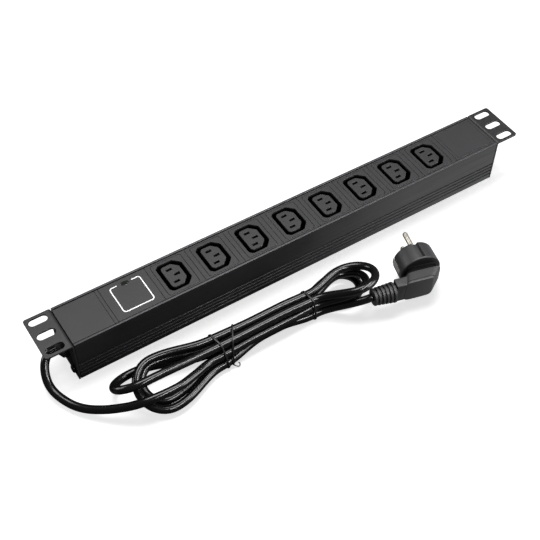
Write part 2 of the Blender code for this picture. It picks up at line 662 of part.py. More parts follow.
def inner_leads():
    """Three leads from the end of the mains lead to the contact bars."""
    start_x = GLAND_MOUTH_X + LEAD_IN_DEPTH + GAP
    turn_x = start_x + 5.0
    room = SURGE_MIDDLE - turn_x
    fan = ((1.8, -1.0), (-1.8, -1.0), (0.0, 2.0))
    names = ("line_lead", "neutral_lead", "earth_lead")
    finishes = ("lead_brown", "lead_blue", "lead_green")
    for name, material, (dy, dz), (shift, y) in zip(names, finishes, fan, contact_places()):
        end_x = OUTLET_XS[0] + shift - TOOTH_WIDTH / 2 - BAR_OVERHANG - GAP
        end_z = (BAR_TOP + BAR_BOTTOM) / 2
        route = ((start_x, GLAND_Y + dy, GLAND_Z + dz), (turn_x, GLAND_Y + dy, GLAND_Z + dz),
                 (turn_x + 0.35 * room, y, LEAD_Z + 6), (turn_x + 0.62 * room, y, LEAD_Z),
                 (SURGE_MIDDLE, y, LEAD_Z), (OUTLET_ROW_START - 8, y, LEAD_Z + 2),
                 (end_x - 5, y, end_z), (end_x, y, end_z))
        tube(name, smooth_route(route, 3), LEAD_RADIUS, material, 2)


def ease(t):
    return (1 - cos(pi * t)) / 2


def run_point(run, x):
    """The middle of a run at x: in its places at the waists, drawn in between them."""
    share = (x - HANK_LEFT) / (HANK_RIGHT - HANK_LEFT)
    drawn = ease(max(0.0, min(1.0, share / DRAW_LEFT, (1.0 - share) / DRAW_RIGHT)))
    y, z = (a + (b - a) * share for a, b in zip(LEFT_PLACES[run], RIGHT_PLACES[run]))
    return Vector((x, y, z)).lerp(Vector((x, *MIDDLE_PLACES[run])), drawn)


def run_between(run, rightwards):
    """Points of a run between the waists, in the direction it is walked."""
    points = [run_point(run, HANK_LEFT + (HANK_RIGHT - HANK_LEFT) * share) for share in RUN_SHARES]
    return points if rightwards else points[::-1]


def hank_turn(run_in, run_out, arc_x, tip_x, side_in, side_out):
    """From a waist out along one side, round the tip and back along the other side."""
    waist, places = (HANK_LEFT, LEFT_PLACES) if tip_x < HANK_LEFT else (HANK_RIGHT, RIGHT_PLACES)
    points = []

    def ease_point(run, side, t):
        y, z = (a + (b - a) * ease(t) for a, b in zip(run, side))
        return Vector((waist + (arc_x - waist) * t, y, z))

    for i in range(EASE_STEPS):
        points.append(ease_point(places[run_in], side_in, i / EASE_STEPS))
    for i in range(ARC_STEPS + 1):
        angle = pi * i / ARC_STEPS
        y, z = ((a + b) / 2 + (a - b) / 2 * cos(angle) for a, b in zip(side_in, side_out))
        points.append(Vector((arc_x + (tip_x - arc_x) * sin(angle), y, z)))
    for i in range(EASE_STEPS - 1, -1, -1):
        points.append(ease_point(places[run_out], side_out, i / EASE_STEPS))
    return points


def hank_route():
    """The whole hank: in at the left waist, three turns at each end, out at the right waist."""
    points = [run_point(TURNS[0][0], HANK_LEFT)]
    for turn in TURNS:
        run_in, tip_x = turn[0], turn[3]
        points += run_between(run_in, tip_x > HANK_LEFT) + hank_turn(*turn)
    last = TURNS[-1][1]
    return points + run_between(last, True) + [run_point(last, HANK_RIGHT)]


def least_gap(points, diameter):
    """Least clear distance between runs of one tube, measured on points along it."""
    dense, along, travelled = [], [], 0.0
    for a, b in zip(points, points[1:]):
        count = max(1, int((b - a).length))
        for i in range(count):
            dense.append(a.lerp(b, i / count))
            along.append(travelled + (b - a).length * i / count)
        travelled += (b - a).length
    far = 4 * diameter
    least = min((p - q).length for i, p in enumerate(dense) for j, q in enumerate(dense[:i])
                if along[i] - along[j] > far)
    return least - diameter


def lead():
    """The mains lead: from the gland to the hank, the hank, and on to the plug."""
    first, last = TURNS[0][0], TURNS[-1][1]
    inside = [(GLAND_MOUTH_X + depth, GLAND_Y, GLAND_Z) for depth in (LEAD_IN_DEPTH, LEAD_IN_DEPTH / 2, 1.0)]
    way = [(GLAND_MOUTH_X + share * LEAD_IN_REACH, y, z) for share, y, z in LEAD_IN_WAY]
    arrive = [(HANK_LEFT - back, *LEFT_PLACES[first]) for back in (CORD_DIAMETER, GAP)]
    tube("cord_lead_in", smooth_route(inside + way + arrive, SMOOTH_STEPS), CORD_RADIUS, "cord_black", 2)

    points = hank_route()
    print("cord_hank: least gap to itself %.2f mm" % least_gap(points, CORD_DIAMETER))
    tube("cord_hank", points, CORD_RADIUS, "cord_black", 1)

    tip = plug_place(-(COLLAR_FAR + 2 * GAP + RELIEF_LENGTH), 0.0, RELIEF_BEHIND)
    end = run_point(last, HANK_RIGHT)
    along = (end - run_point(last, HANK_LEFT)).normalized()
    leave = end + along * GAP
    stop = tip - PLUG_CABLE * LEAD_OUT_STRAIGHT
    come = stop - PLUG_CABLE * LEAD_OUT_REACH - PLUG_UP * LEAD_OUT_DROP
    route = bezier_route(leave, leave + along * LEAD_OUT_PULL, come, stop, LEAD_OUT_STEPS) + [tip]
    tube("cord_lead_out", route, CORD_RADIUS, "cord_black", 2)


def strap_cuts(x, slant):
    """Where a strap slanted along y cuts each run: its middle (y, z) and how far the cut stretches along y."""
    level = [run_point(run, x) for run in LEFT_PLACES]
    middle = sum(point.y for point in level) / len(level)
    cuts = []
    for run, point in zip(LEFT_PLACES, level):
        for _ in range(3):
            point = run_point(run, x + slant * (point.y - middle))
        slope = run_point(run, point.x + 0.5).y - run_point(run, point.x - 0.5).y
        cuts.append((point.y, point.z, hypot(1.0, slope) / (1.0 - slope * slant)))
    return middle, cuts


def strap_ring(cuts, clear):
    """An outline drawn round the cuts, clear of them by a distance."""
    ring = []
    for i in range(TIE_POINTS):
        c, s = cos(2 * pi * i / TIE_POINTS), sin(2 * pi * i / TIE_POINTS)
        y, z, stretch = max(cuts, key=lambda cut: cut[0] * c + cut[1] * s + CORD_RADIUS * hypot(cut[2] * c, s))
        reach = hypot(stretch * c, s)
        ring.append((y + CORD_RADIUS * stretch * stretch * c / reach + clear * c,
                     z + CORD_RADIUS * s / reach + clear * s))
    return ring


def ties():
    """Thin straps drawn round the runs of the hank at its waists."""
    for name, (x, slant) in TIES.items():
        middle, cuts = strap_cuts(x, slant)
        inner, outer = strap_ring(cuts, TIE_GAP), strap_ring(cuts, TIE_GAP + TIE_THICKNESS)
        bm = bmesh.new()
        rings = []
        for outline, dx in ((inner, -TIE_WIDTH / 2), (outer, -TIE_WIDTH / 2), (outer, TIE_WIDTH / 2),
                            (inner, TIE_WIDTH / 2)):
            rings.append([bm.verts.new((x + dx + slant * (y - middle), y, z)) for y, z in outline])
        for first, second in zip(rings, rings[1:] + rings[:1]):
            for i in range(TIE_POINTS):
                j = (i + 1) % TIE_POINTS
                bm.faces.new((first[i], first[j], second[j], second[i]))
        add_piece(name, mesh_of(bm), "plug_black")


# Plug

def plug_place(p, w, behind):
    """A point of the plug: p along the cable, w up, and its distance behind the pin face."""
    return Vector(PLUG_FACE) + PLUG_CABLE * p + PLUG_UP * w - PLUG_PINS * behind


def plug_block(p0, p1, w0, w1, front, back):
    """A closed box in the plug's own directions."""
    bm = bmesh.new()
    corners = [bm.verts.new(plug_place(p, w, r)) for r in (front, back) for p, w in
               ((p0, w0), (p1, w0), (p1, w1), (p0, w1))]
    for face in ((0, 1, 2, 3), (7, 6, 5, 4), (0, 4, 5, 1), (1, 5, 6, 2), (2, 6, 7, 3), (3, 7, 4, 0)):
        bm.faces.new([corners[i] for i in face])
    return mesh_of(bm)


def squared_ring(half_p, middle, half_w, power):
    """An oval section, squarer as the power grows."""
    ring = []
    for i in range(PLUG_POINTS):
        angle = 2 * pi * i / PLUG_POINTS
        c, s = cos(angle), sin(angle)
        p = half_p * abs(c) ** (2 / power) * (1 if c >= 0 else -1)
        w = half_w * abs(s) ** (2 / power) * (1 if s >= 0 else -1)
        ring.append((middle + p, w))
    return ring


def plug_body():
    """Moulded body: round pin face, finger waist, grip and the collar of the strain relief."""
    bm = bmesh.new()
    rings = []
    for behind, half_p, middle, half_w, power in PLUG_SECTIONS:
        rings.append([bm.verts.new(plug_place(p, w, behind))
                      for p, w in squared_ring(half_p, middle, half_w, power)])
    bm.faces.new(rings[0])
    bm.faces.new(list(reversed(rings[-1])))
    for first, second in zip(rings, rings[1:]):
        for i in range(PLUG_POINTS):
            j = (i + 1) % PLUG_POINTS
            bm.faces.new((first[i], second[i], second[j], first[j]))
    mesh = mesh_of(bm)
    collar = plug_block(-COLLAR_FAR, -COLLAR_NEAR, -COLLAR_HALF_HEIGHT, COLLAR_HALF_HEIGHT,
                        COLLAR_FRONT, COLLAR_BACK)
    mesh = combine(mesh, collar, "UNION")
    face_radius = PLUG_SECTIONS[2][1]
    for side in (-1, 1):
        spread = sorted((side * (face_radius - GUIDE_DEPTH), side * (face_radius + 1.0)))
        mesh = cut_away(mesh, plug_block(-GUIDE_WIDTH / 2, GUIDE_WIDTH / 2, *spread, -1.0, GUIDE_LENGTH))
        pocket = sorted((side * (face_radius - CLIP_POCKET_DEPTH), side * (face_radius + 1.0)))
        half = CLIP_WIDTH / 2 + GAP
        mesh = cut_away(mesh, plug_block(*pocket, -half, half, -1.0, CLIP_LENGTH + GAP))
        hole = turned([(-1.0, 0.0), (-1.0, PIN_RADIUS + GAP), (PIN_ROOT + GAP, PIN_RADIUS + GAP), (PIN_ROOT + GAP, 0.0)],
                      plug_place(0.0, side * PIN_SPREAD, 0.0), -PLUG_PINS, PLUG_CABLE, 16)
        mesh = cut_away(mesh, hole)
    add_piece("plug_body", mesh, "plug_black")


def plug_metal():
    """Two round pins and the two earth clips at the sides of the pin face."""
    tip = PIN_RADIUS * 0.55
    profile = [(-PIN_ROOT, 0.0), (-PIN_ROOT, PIN_RADIUS), (PIN_LENGTH - tip, PIN_RADIUS),
               (PIN_LENGTH - 0.3 * tip, 0.8 * PIN_RADIUS), (PIN_LENGTH, 0.4 * PIN_RADIUS), (PIN_LENGTH, 0.0)]
    face_radius = PLUG_SECTIONS[2][1]
    for side, place in ((1, "upper"), (-1, "lower")):
        mesh = turned(profile, plug_place(0.0, side * PIN_SPREAD, 0.0), PLUG_PINS, PLUG_CABLE, 16)
        add_piece(f"plug_pin_{place}", mesh, "bright_metal")
    for side, place in ((-1, "near"), (1, "far")):
        seat = face_radius - CLIP_POCKET_DEPTH + GAP
        span = sorted((side * seat, side * (seat + CLIP_THICKNESS)))
        mesh = plug_block(*span, -CLIP_WIDTH / 2, CLIP_WIDTH / 2, 0.0, CLIP_LENGTH)
        add_piece(f"earth_clip_{place}", mesh, "bright_metal")


def plug_relief():
    """Ribbed tapered strain relief between the plug and the lead."""
    profile = [(0.0, 0.0)]
    pitch = RELIEF_LENGTH / RELIEF_RIBS

    def radius_at(along):
        return RELIEF_ROOT_RADIUS + (RELIEF_TIP_RADIUS - RELIEF_ROOT_RADIUS) * along / RELIEF_LENGTH

    for k in range(RELIEF_RIBS):
        start = k * pitch
        profile += [(start, radius_at(start) - RIB_DEPTH), (start + 0.35 * pitch, radius_at(start) - RIB_DEPTH),
                    (start + 0.36 * pitch, radius_at(start)), (start + 0.99 * pitch, radius_at(start + pitch))]
    profile += [(RELIEF_LENGTH, radius_at(RELIEF_LENGTH) - RIB_DEPTH), (RELIEF_LENGTH, 0.0)]
    origin = plug_place(-(COLLAR_FAR + GAP), 0.0, RELIEF_BEHIND)
    add_piece("plug_relief", turned(profile, origin, -PLUG_CABLE, PLUG_UP, 20), "plug_black")


def main():
    clear_scene()
    housing_channel()
    end_bracket("left_end_bracket", -1)
    end_bracket("right_end_bracket", 1)
    end_screws()
    plain_plate("label_plate", -HALF_BODY, SURGE_START)
    surge_plate()
    indicator_lens()
    surge_board()
    outlets()
    plain_plate("blank_plate", OUTLET_ROW_END + GAP, HALF_BODY)
    contact_bars()
    gland()
    inner_leads()
    lead()
    ties()
    plug_body()
    plug_metal()
    plug_relief()


main()
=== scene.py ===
"""A rack power strip with its mains lead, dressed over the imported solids.

The file is laid out as an add-on and run as a script. Every piece is made in
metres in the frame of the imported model: X along the strip, -Y towards the
lead, Z out of the outlets.
"""
from math import cos, hypot, pi, radians, sin

import bmesh
import bpy
from bpy.props import FloatProperty, FloatVectorProperty, IntProperty, PointerProperty
from mathutils import Matrix, Vector
from mathutils.geometry import tessellate_polygon


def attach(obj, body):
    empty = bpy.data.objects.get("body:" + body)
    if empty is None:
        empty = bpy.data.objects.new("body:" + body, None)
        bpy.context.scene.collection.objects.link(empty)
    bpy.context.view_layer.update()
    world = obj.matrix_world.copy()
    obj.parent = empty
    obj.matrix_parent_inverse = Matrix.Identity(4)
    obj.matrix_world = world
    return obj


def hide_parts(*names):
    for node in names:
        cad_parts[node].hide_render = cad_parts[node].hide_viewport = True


bl_info = {
    "name": "Rack power strip",
    "version": (1, 0, 0),
    "blender": (4, 5, 0),
    "location": "View3D > Sidebar > Strip",
    "description": "Builds a rack power strip with outlets, end brackets and a tied mains lead",
    "category": "Add Mesh",
}

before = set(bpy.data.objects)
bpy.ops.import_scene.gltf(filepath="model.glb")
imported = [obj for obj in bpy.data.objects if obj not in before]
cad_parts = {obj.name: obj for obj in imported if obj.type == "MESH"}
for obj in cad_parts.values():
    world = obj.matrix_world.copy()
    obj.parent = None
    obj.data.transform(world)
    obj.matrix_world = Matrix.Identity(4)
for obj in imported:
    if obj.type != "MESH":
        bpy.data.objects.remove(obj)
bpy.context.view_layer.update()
BODY = "root"
MM = 0.001
GAP = 0.3 * MM

# Places, holes and edges that several pieces share
SCREW_ROW, SCREW_HEIGHT, SCREW_HOLE = 15.2 * MM, 7.8 * MM, 1.8 * MM
GLAND_HOLE = 7.3 * MM
PLATE_SIDE_GAP, PLATE_CORNER, PLATE_EDGE = 0.75 * MM, 0.3 * MM, 0.14 * MM
FACE_GRAIN, FACE_GRAIN_DEPTH = 0.9 * MM, 0.03 * MM

# Edges where faces meet at more than this many degrees stay crisp
CRISP = 35.0


def length(name, default, about):
    return FloatProperty(name=name, description=about, default=default * MM, unit="LENGTH", precision=5)


def colour(name, default, about):
    return FloatVectorProperty(name=name, description=about, default=default, subtype="COLOR",
                               min=0.0, max=1.0)


def number(name, default, about, **kind):
    return FloatProperty(name=name, description=about, default=default, **kind)


def whole(name, default, about, least=1):
    return IntProperty(name=name, description=about, default=default, min=least)


class StripSizes(bpy.types.PropertyGroup):
    """Sizes of the housing, its brackets, plates and outlets"""
    panel_width: length("Panel width", 482.6, "Width over the rack ears")
    body_length: length("Body length", 433.2, "Length of the housing")
    body_width: length("Body width", 44.0, "Width of the housing")
    body_height: length("Body height", 45.4, "Height of the housing")
    wall: length("Wall", 2.2, "Thickness of the housing's walls and floor")
    lip_width: length("Lip width", 2.0, "Width of the wall's edge beside the plates")
    lip_rise: length("Lip rise", 2.3, "Height of the lip over the ledge")
    ledge_reach: length("Ledge reach", 4.0, "Ledge's inner edge from the outer side")
    ledge_thickness: length("Ledge thickness", 1.8, "Thickness of the plates' ledge")
    groove_count: whole("Grooves", 4, "Grooves on each side")
    groove_pitch: length("Groove pitch", 4.2, "Distance between the grooves of a side")
    groove_width: length("Groove width", 2.2, "Width of a groove at the surface")
    groove_depth: length("Groove depth", 0.9, "Depth of a groove")
    groove_lowest: length("Lowest groove", 6.3, "Height of the lowest groove")
    edge: length("Edge radius", 0.35, "Rounding of the metal's edges")
    bracket_thickness: length("Bracket thickness", 1.8, "Sheet thickness of the end brackets")
    bend_radius: length("Bend radius", 2.6, "Outer radius of the bracket's bend")
    slot_length: length("Slot length", 16.2, "Length of an ear's slot")
    slot_width: length("Slot width", 7.0, "Width of an ear's slot")
    slot_row: length("Slot row", 230.3, "Distance of the slots from the middle")
    hole_pitch: length("Hole pitch", 15.875, "Distance between the slots")
    plate_thickness: length("Plate thickness", 1.5, "Thickness of the face plates")
    surge_width: length("Surge plate width", 42.8, "Width of the surge plate")
    outlet_start: length("Outlet row start", -133.6, "Where the first outlet plate starts")
    outlet_pitch: length("Outlet pitch", 38.12, "Distance between the outlets")
    outlet_count: whole("Outlets", 8, "Number of outlets")
    insert_width: length("Insert width", 28.8, "Outlet insert along the strip")
    insert_length: length("Insert length", 35.2, "Outlet insert across the strip")
    well_width: length("Well width", 22.8, "Outlet well along the strip")
    well_length: length("Well length", 30.6, "Outlet well across the strip")
    well_depth: length("Well depth", 16.0, "Depth of an outlet's well")
    core_width: length("Core width", 15.6, "Outlet core along the strip")
    core_length: length("Core length", 23.8, "Outlet core across the strip")


class LeadSizes(bpy.types.PropertyGroup):
    """Sizes of the mains lead, its gland and its ties"""
    diameter: length("Lead diameter", 7.2, "Diameter of the mains lead")
    tie_width: length("Tie width", 1.6, "Width of a tie")
    tie_thickness: length("Tie thickness", 0.5, "Thickness of a tie")
    gland_y: length("Gland Y", 0.0, "Place of the gland across the strip")
    gland_z: length("Gland Z", 21.5, "Height of the gland")
    gland_radius: length("Gland radius", 10.0, "Radius of the gland's head")


class PlugSizes(bpy.types.PropertyGroup):
    """Sizes of the plug"""
    radius: length("Plug radius", 18.6, "Radius of the round front")
    pin_spread: length("Pin spread", 9.5, "Distance of a pin from the middle")
    pin_radius: length("Pin radius", 2.4, "Radius of a pin")
    pin_length: length("Pin length", 19.0, "Length of a pin outside the plug")
    guide_width: length("Guide width", 5.2, "Width of the guide grooves")
    guide_depth: length("Guide depth", 2.4, "Depth of the guide grooves")
    relief_length: length("Relief length", 20.6, "Length of the ribbed strain relief")
    ribs: whole("Ribs", 6, "Ribs of the strain relief", 2)


class FinishColours(bpy.types.PropertyGroup):
    """Colours of the finishes"""
    paint: colour("Paint", (0.011, 0.011, 0.012), "Housing and brackets")
    face: colour("Face", (0.013, 0.013, 0.014), "Face plates and outlets")
    cord: colour("Lead", (0.003, 0.003, 0.0033), "Sheath of the mains lead")
    plug: colour("Plug", (0.018, 0.018, 0.019), "Moulded plug")
    mark: colour("Mark", (0.80, 0.80, 0.80), "Printed mark")


class StageSizes(bpy.types.PropertyGroup):
    """Camera and lamps"""
    lens: number("Lens", 68.02, "Focal length of the camera", unit="CAMERA")
    azimuth: number("Azimuth", radians(-33.605), "Camera's turn about the strip", subtype="ANGLE")
    elevation: number("Elevation", radians(50.262), "Camera's height angle", subtype="ANGLE")
    roll: number("Roll", radians(1.145), "Camera's roll", subtype="ANGLE")
    distance: length("Distance", 908.0, "Camera's distance from its target")
    key: number("Key", 11.5, "Power of the lamp above", unit="POWER")
    strip: number("Strip", 16.0, "Power of the narrow lamp above the lead", unit="POWER")
    front: number("Front", 10.0, "Power of the lamp in front at the right", unit="POWER")
    rear: number("Rear", 6.0, "Power of the low lamp behind", unit="POWER")
    fill: number("Fill", 0.09, "Strength of the light all round")


def plate_room(s):
    """The plates' underside, their face and their half width."""
    low = s.body_height - s.lip_rise + GAP
    return low, low + s.plate_thickness, s.body_width / 2 - s.lip_width - PLATE_SIDE_GAP


def bracket_face(s):
    """How far the brackets' outer faces lie from the middle of the strip."""
    return s.body_length / 2 + 2 * GAP + s.bracket_thickness


# Outlines

STRAIGHT_ENOUGH = radians(8)
EDGE_SHARE = 0.45


def arc(cx, cy, radius, start, end, steps):
    """Points on an arc, angles in degrees."""
    angles = [radians(start + (end - start) * i / steps) for i in range(steps + 1)]
    return [(cx + radius * cos(a), cy + radius * sin(a)) for a in angles]


def rounded_box(x0, x1, y0, y1, radius, steps=5):
    return (arc(x1 - radius, y0 + radius, radius, -90, 0, steps)
            + arc(x1 - radius, y1 - radius, radius, 0, 90, steps)
            + arc(x0 + radius, y1 - radius, radius, 90, 180, steps)
            + arc(x0 + radius, y0 + radius, radius, 180, 270, steps))


def circle(cx, cy, radius, sides=32):
    return arc(cx, cy, radius, 0, 360 - 360 / sides, sides - 1)


def hole(outline):
    """The outline run clockwise, as a hole needs."""
    return list(reversed(outline))


def stadium(cx, cy, run, width, steps=10):
    """A slot outline that runs along its first axis."""
    half, radius = (run - width) / 2, width / 2
    return arc(cx + half, cy, radius, -90, 90, steps) + arc(cx - half, cy, radius, 90, 270, steps)


def socket_outline(width, run, chamfer, corner, soft):
    """The appliance coupler's shape: two chamfered corners towards +X, all corners softened."""
    x, y = width / 2, run / 2
    return soften([(-x, -y + corner), (-x + corner, -y), (x - chamfer, -y), (x, -y + chamfer),
                   (x, y - chamfer), (x - chamfer, y), (-x + corner, y), (-x, y - corner)], soft, 3)


def soften(outline, radius, steps=2):
    """The outline with each corner rounded, by less where an edge is short."""
    out = []
    count = len(outline)
    for i in range(count):
        a, b, c = (Vector(outline[(i + k) % count]) for k in (-1, 0, 1))
        before, after = a - b, c - b
        turn = pi - before.angle(after)
        if turn < STRAIGHT_ENOUGH:
            out.append(tuple(b))
            continue
        wanted = radius * abs(sin(turn / 2) / cos(turn / 2))
        reach = min(wanted, EDGE_SHARE * before.length, EDGE_SHARE * after.length)
        start, end = b + before.normalized() * reach, b + after.normalized() * reach
        for k in range(steps + 1):
            t = k / steps
            out.append(tuple(start.lerp(b, t).lerp(b.lerp(end, t), t)))
    return out


def left_inset(loop, distance):
    """The loop moved towards its left side, with mitred corners."""
    out = []
    count = len(loop)
    for i in range(count):
        a, b, c = (Vector(loop[(i + k) % count]) for k in (-1, 0, 1))
        u, v = (b - a).normalized(), (c - b).normalized()
        first, second = Vector((-u.y, u.x)), Vector((-v.y, v.x))
        out.append(tuple(b + (first + second) * (distance / (1 + first.dot(second)))))
    return out


# Meshes

AXES = {
    "X": lambda a, b, h: (h, a, b),
    "Z": lambda a, b, h: (a, b, h),
}


def bridge(bm, first, second):
    """Faces between two rings of equal point counts."""
    size = len(first)
    for i in range(size):
        j = (i + 1) % size
        bm.faces.new((first[i], first[j], second[j], second[i]))


def slab(bm, loops, low, high, bevel, axis="Z", steps=3):
    """A plate with rounded edges: an outline run anticlockwise, then its holes run clockwise."""
    place = AXES[axis]
    flat = bm.faces.layers.int.get("flat") or bm.faces.layers.int.new("flat")
    angles = [pi / 2 * k / steps for k in range(steps + 1)]
    levels = [(bevel * (1 - sin(a)), low + bevel * (1 - cos(a))) for a in angles]
    levels += [(bevel * (1 - cos(a)), high - bevel * (1 - sin(a))) for a in angles]
    ends = ([], [])
    for loop in loops:
        rings = [[bm.verts.new(place(x, y, h)) for x, y in left_inset(loop, offset)]
                 for offset, h in levels]
        for end, ring in zip(ends, (rings[0], rings[-1])):
            end.append((left_inset(loop, bevel), ring))
        for first, second in zip(rings, rings[1:]):
            bridge(bm, first, second)
    for end in ends:
        corners = [v for outline, ring in end for v in ring]
        outlines = [[Vector((x, y, 0.0)) for x, y in outline] for outline, ring in end]
        for triangle in tessellate_polygon(outlines):
            bm.faces.new([corners[i] for i in triangle])[flat] = 1


def turned(bm, profile, origin, axis, side, sides=40):
    """A solid turned about an axis; a profile that starts above zero closes into a ring."""
    axis, side = Vector(axis).normalized(), Vector(side).normalized()
    other = axis.cross(side)
    rings = []
    for along, radius in profile:
        middle = Vector(origin) + axis * along
        if radius == 0.0:
            rings.append([bm.verts.new(middle)])
            continue
        rings.append([bm.verts.new(middle + (side * cos(a) + other * sin(a)) * radius)
                      for a in (2 * pi * i / sides for i in range(sides))])
    pairs = list(zip(rings, rings[1:]))
    if profile[0][1] > 0.0:
        pairs.append((rings[-1], rings[0]))
    for first, second in pairs:
        for i in range(sides):
            j = (i + 1) % sides
            corners = ((first, i), (first, j), (second, j), (second, i))
            face = [ring[k % len(ring)] for ring, k in corners]
            bm.faces.new(list(dict.fromkeys(face)))


def loft(bm, rings):
    """A closed skin over rings of equal point counts."""
    verts = [[bm.verts.new(p) for p in ring] for ring in rings]
    for first, second in zip(verts, verts[1:]):
        bridge(bm, first, second)
    bm.faces.new(verts[0])
    bm.faces.new(verts[-1])


def tube(bm, points, radius, sides):
    """A round tube with caps along a route, with a UV map: u round it, v in metres along it."""
    layer = bm.loops.layers.uv.verify()
    before, after = points[:1] + points[:-1], points[1:] + points[-1:]
    tangents = [(b - a).normalized() for a, b in zip(before, after)]
    side = tangents[0].orthogonal().normalized()
    rings, runs, run = [], [], 0.0
    for i, (point, tangent) in enumerate(zip(points, tangents)):
        side = (side - tangent * side.dot(tangent)).normalized()
        other = tangent.cross(side)
        run += (point - points[i - 1]).length if i else 0.0
        runs.append(run)
        rings.append([bm.verts.new(point + (side * cos(a) + other * sin(a)) * radius)
                      for a in (2 * pi * k / sides for k in range(sides))])
    for i in range(len(rings) - 1):
        for k in range(sides):
            j = (k + 1) % sides
            face = bm.faces.new((rings[i][k], rings[i][j], rings[i + 1][j], rings[i + 1][k]))
            corners = ((k, i), (k + 1, i), (k + 1, i + 1), (k, i + 1))
            for loop, (u, row) in zip(face.loops, corners):
                loop[layer].uv = (u / sides, runs[row])
    bm.faces.new(list(reversed(rings[0])))
    bm.faces.new(rings[-1])


def mesh_from(bm, name, sharp=CRISP):
    """A mesh of the finished faces, which point outwards."""
    bmesh.ops.recalc_face_normals(bm, faces=bm.faces)
    flat = bm.faces.layers.int.get("flat")
    for face in bm.faces:
        face.smooth = not (flat and face[flat])
    if flat:
        bm.faces.layers.int.remove(flat)
    mesh = bpy.data.meshes.new(name)
    bm.to_mesh(mesh)
    bm.free()
    sharpen(mesh, sharp)
    return mesh


def sharpen(mesh, degrees):
    """Sharp edges where faces meet at more than the angle; flat faces stay flat."""
    smooth = [face.use_smooth for face in mesh.polygons]
    mesh.set_sharp_from_angle(angle=radians(degrees))
    mesh.polygons.foreach_set("use_smooth", smooth)


def piece(name, mesh, material, slot, *nodes):
    """A finished piece on the body, in the place of its CAD nodes."""
    mesh.name = name
    mesh.materials.clear()
    mesh.materials.append(material)
    thing = bpy.data.objects.new(name, mesh)
    bpy.context.scene.collection.objects.link(thing)
    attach(thing, BODY)
    if nodes:
        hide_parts(*nodes)
    return thing


def combine(mesh, other, operation):
    """The mesh after a Boolean with the other one."""
    target = bpy.data.objects.new("target", mesh)
    tool = bpy.data.objects.new("tool", other)
    for thing in (target, tool):
        bpy.context.scene.collection.objects.link(thing)
    cut = target.modifiers.new("cut", "BOOLEAN")
    cut.operation = operation
    cut.object = tool
    result = bpy.data.meshes.new_from_object(target.evaluated_get(bpy.context.evaluated_depsgraph_get()))
    for thing in (target, tool):
        bpy.data.objects.remove(thing, do_unlink=True)
    return result


# Geometry node trees

def new_tree(name, **inputs):
    """A tree that gives geometry and takes the named inputs."""
    tree = bpy.data.node_groups.new(name, "GeometryNodeTree")
    tree.interface.new_socket("Geometry", in_out="OUTPUT", socket_type="NodeSocketGeometry")
    for label, kind in inputs.items():
        tree.interface.new_socket(label, in_out="INPUT", socket_type=f"NodeSocket{kind}")
    return tree


def row_tree():
    """Copies of a template set in a row along X."""
    tree = new_tree("row of copies", Template="Object", Count="Int", Start="Vector", Pitch="Vector",
                    Material="Material")
    nodes, links = tree.nodes, tree.links
    given, out = nodes.new("NodeGroupInput"), nodes.new("NodeGroupOutput")
    line, spot = nodes.new("GeometryNodeMeshLine"), nodes.new("GeometryNodeInstanceOnPoints")
    template = nodes.new("GeometryNodeObjectInfo")
    links.new(given.outputs["Count"], line.inputs["Count"])
    links.new(given.outputs["Start"], line.inputs["Start Location"])
    links.new(given.outputs["Pitch"], line.inputs["Offset"])
    links.new(given.outputs["Template"], template.inputs["Object"])
    links.new(line.outputs["Mesh"], spot.inputs["Points"])
    finish_tree(tree, template, spot, given, out)
    return tree


def spot_tree():
    """Copies of a template at points, turned about Z and grown by the points' own attributes."""
    tree = new_tree("copies at spots", Geometry="Geometry", Template="Object", Material="Material")
    nodes, links = tree.nodes, tree.links
    given, out = nodes.new("NodeGroupInput"), nodes.new("NodeGroupOutput")
    spot, template = nodes.new("GeometryNodeInstanceOnPoints"), nodes.new("GeometryNodeObjectInfo")
    fields = {}
    for name in ("turn", "grow"):
        fields[name] = nodes.new("GeometryNodeInputNamedAttribute")
        fields[name].data_type = "FLOAT_VECTOR"
        fields[name].inputs["Name"].default_value = name
    links.new(given.outputs["Geometry"], spot.inputs["Points"])
    links.new(given.outputs["Template"], template.inputs["Object"])
    links.new(fields["turn"].outputs["Attribute"], spot.inputs["Rotation"])
    links.new(fields["grow"].outputs["Attribute"], spot.inputs["Scale"])
    finish_tree(tree, template, spot, given, out)
    return tree


def finish_tree(tree, template, spot, given, out):
    """The shared end of both trees: real geometry with its material."""
    real = tree.nodes.new("GeometryNodeRealizeInstances")
    paint = tree.nodes.new("GeometryNodeSetMaterial")
    tree.links.new(template.outputs["Geometry"], spot.inputs["Instance"])
    tree.links.new(spot.outputs["Instances"], real.inputs["Geometry"])
    tree.links.new(real.outputs["Geometry"], paint.inputs["Geometry"])
    tree.links.new(given.outputs["Material"], paint.inputs["Material"])
    tree.links.new(paint.outputs["Geometry"], out.inputs["Geometry"])


def grown(tree, template, points, values):
    """The plain mesh that a tree makes from a template mesh."""
    scene = bpy.context.scene
    pattern = bpy.data.objects.new("template", template)
    host = bpy.data.objects.new("host", points)
    for thing in (pattern, host):
        scene.collection.objects.link(thing)
    modifier = host.modifiers.new("copies", "NODES")
    modifier.node_group = tree
    values = dict(values, Template=pattern)
    for item in tree.interface.items_tree:
        if item.in_out == "INPUT" and item.name in values:
            modifier[item.identifier] = values[item.name]
    mesh = bpy.data.meshes.new_from_object(host.evaluated_get(bpy.context.evaluated_depsgraph_get()))
    host.modifiers.clear()
    for thing in (pattern, host):
        bpy.data.objects.remove(thing, do_unlink=True)
    sharpen(mesh, CRISP)
    return mesh


def row_of(template, copies, start, pitch, material):
    """A row of copies of a template mesh along X."""
    empty = bpy.data.meshes.new("points")
    values = {"Count": copies, "Start": (start, 0.0, 0.0), "Pitch": (pitch, 0.0, 0.0),
              "Material": material}
    return grown(row_tree(), template, empty, values)


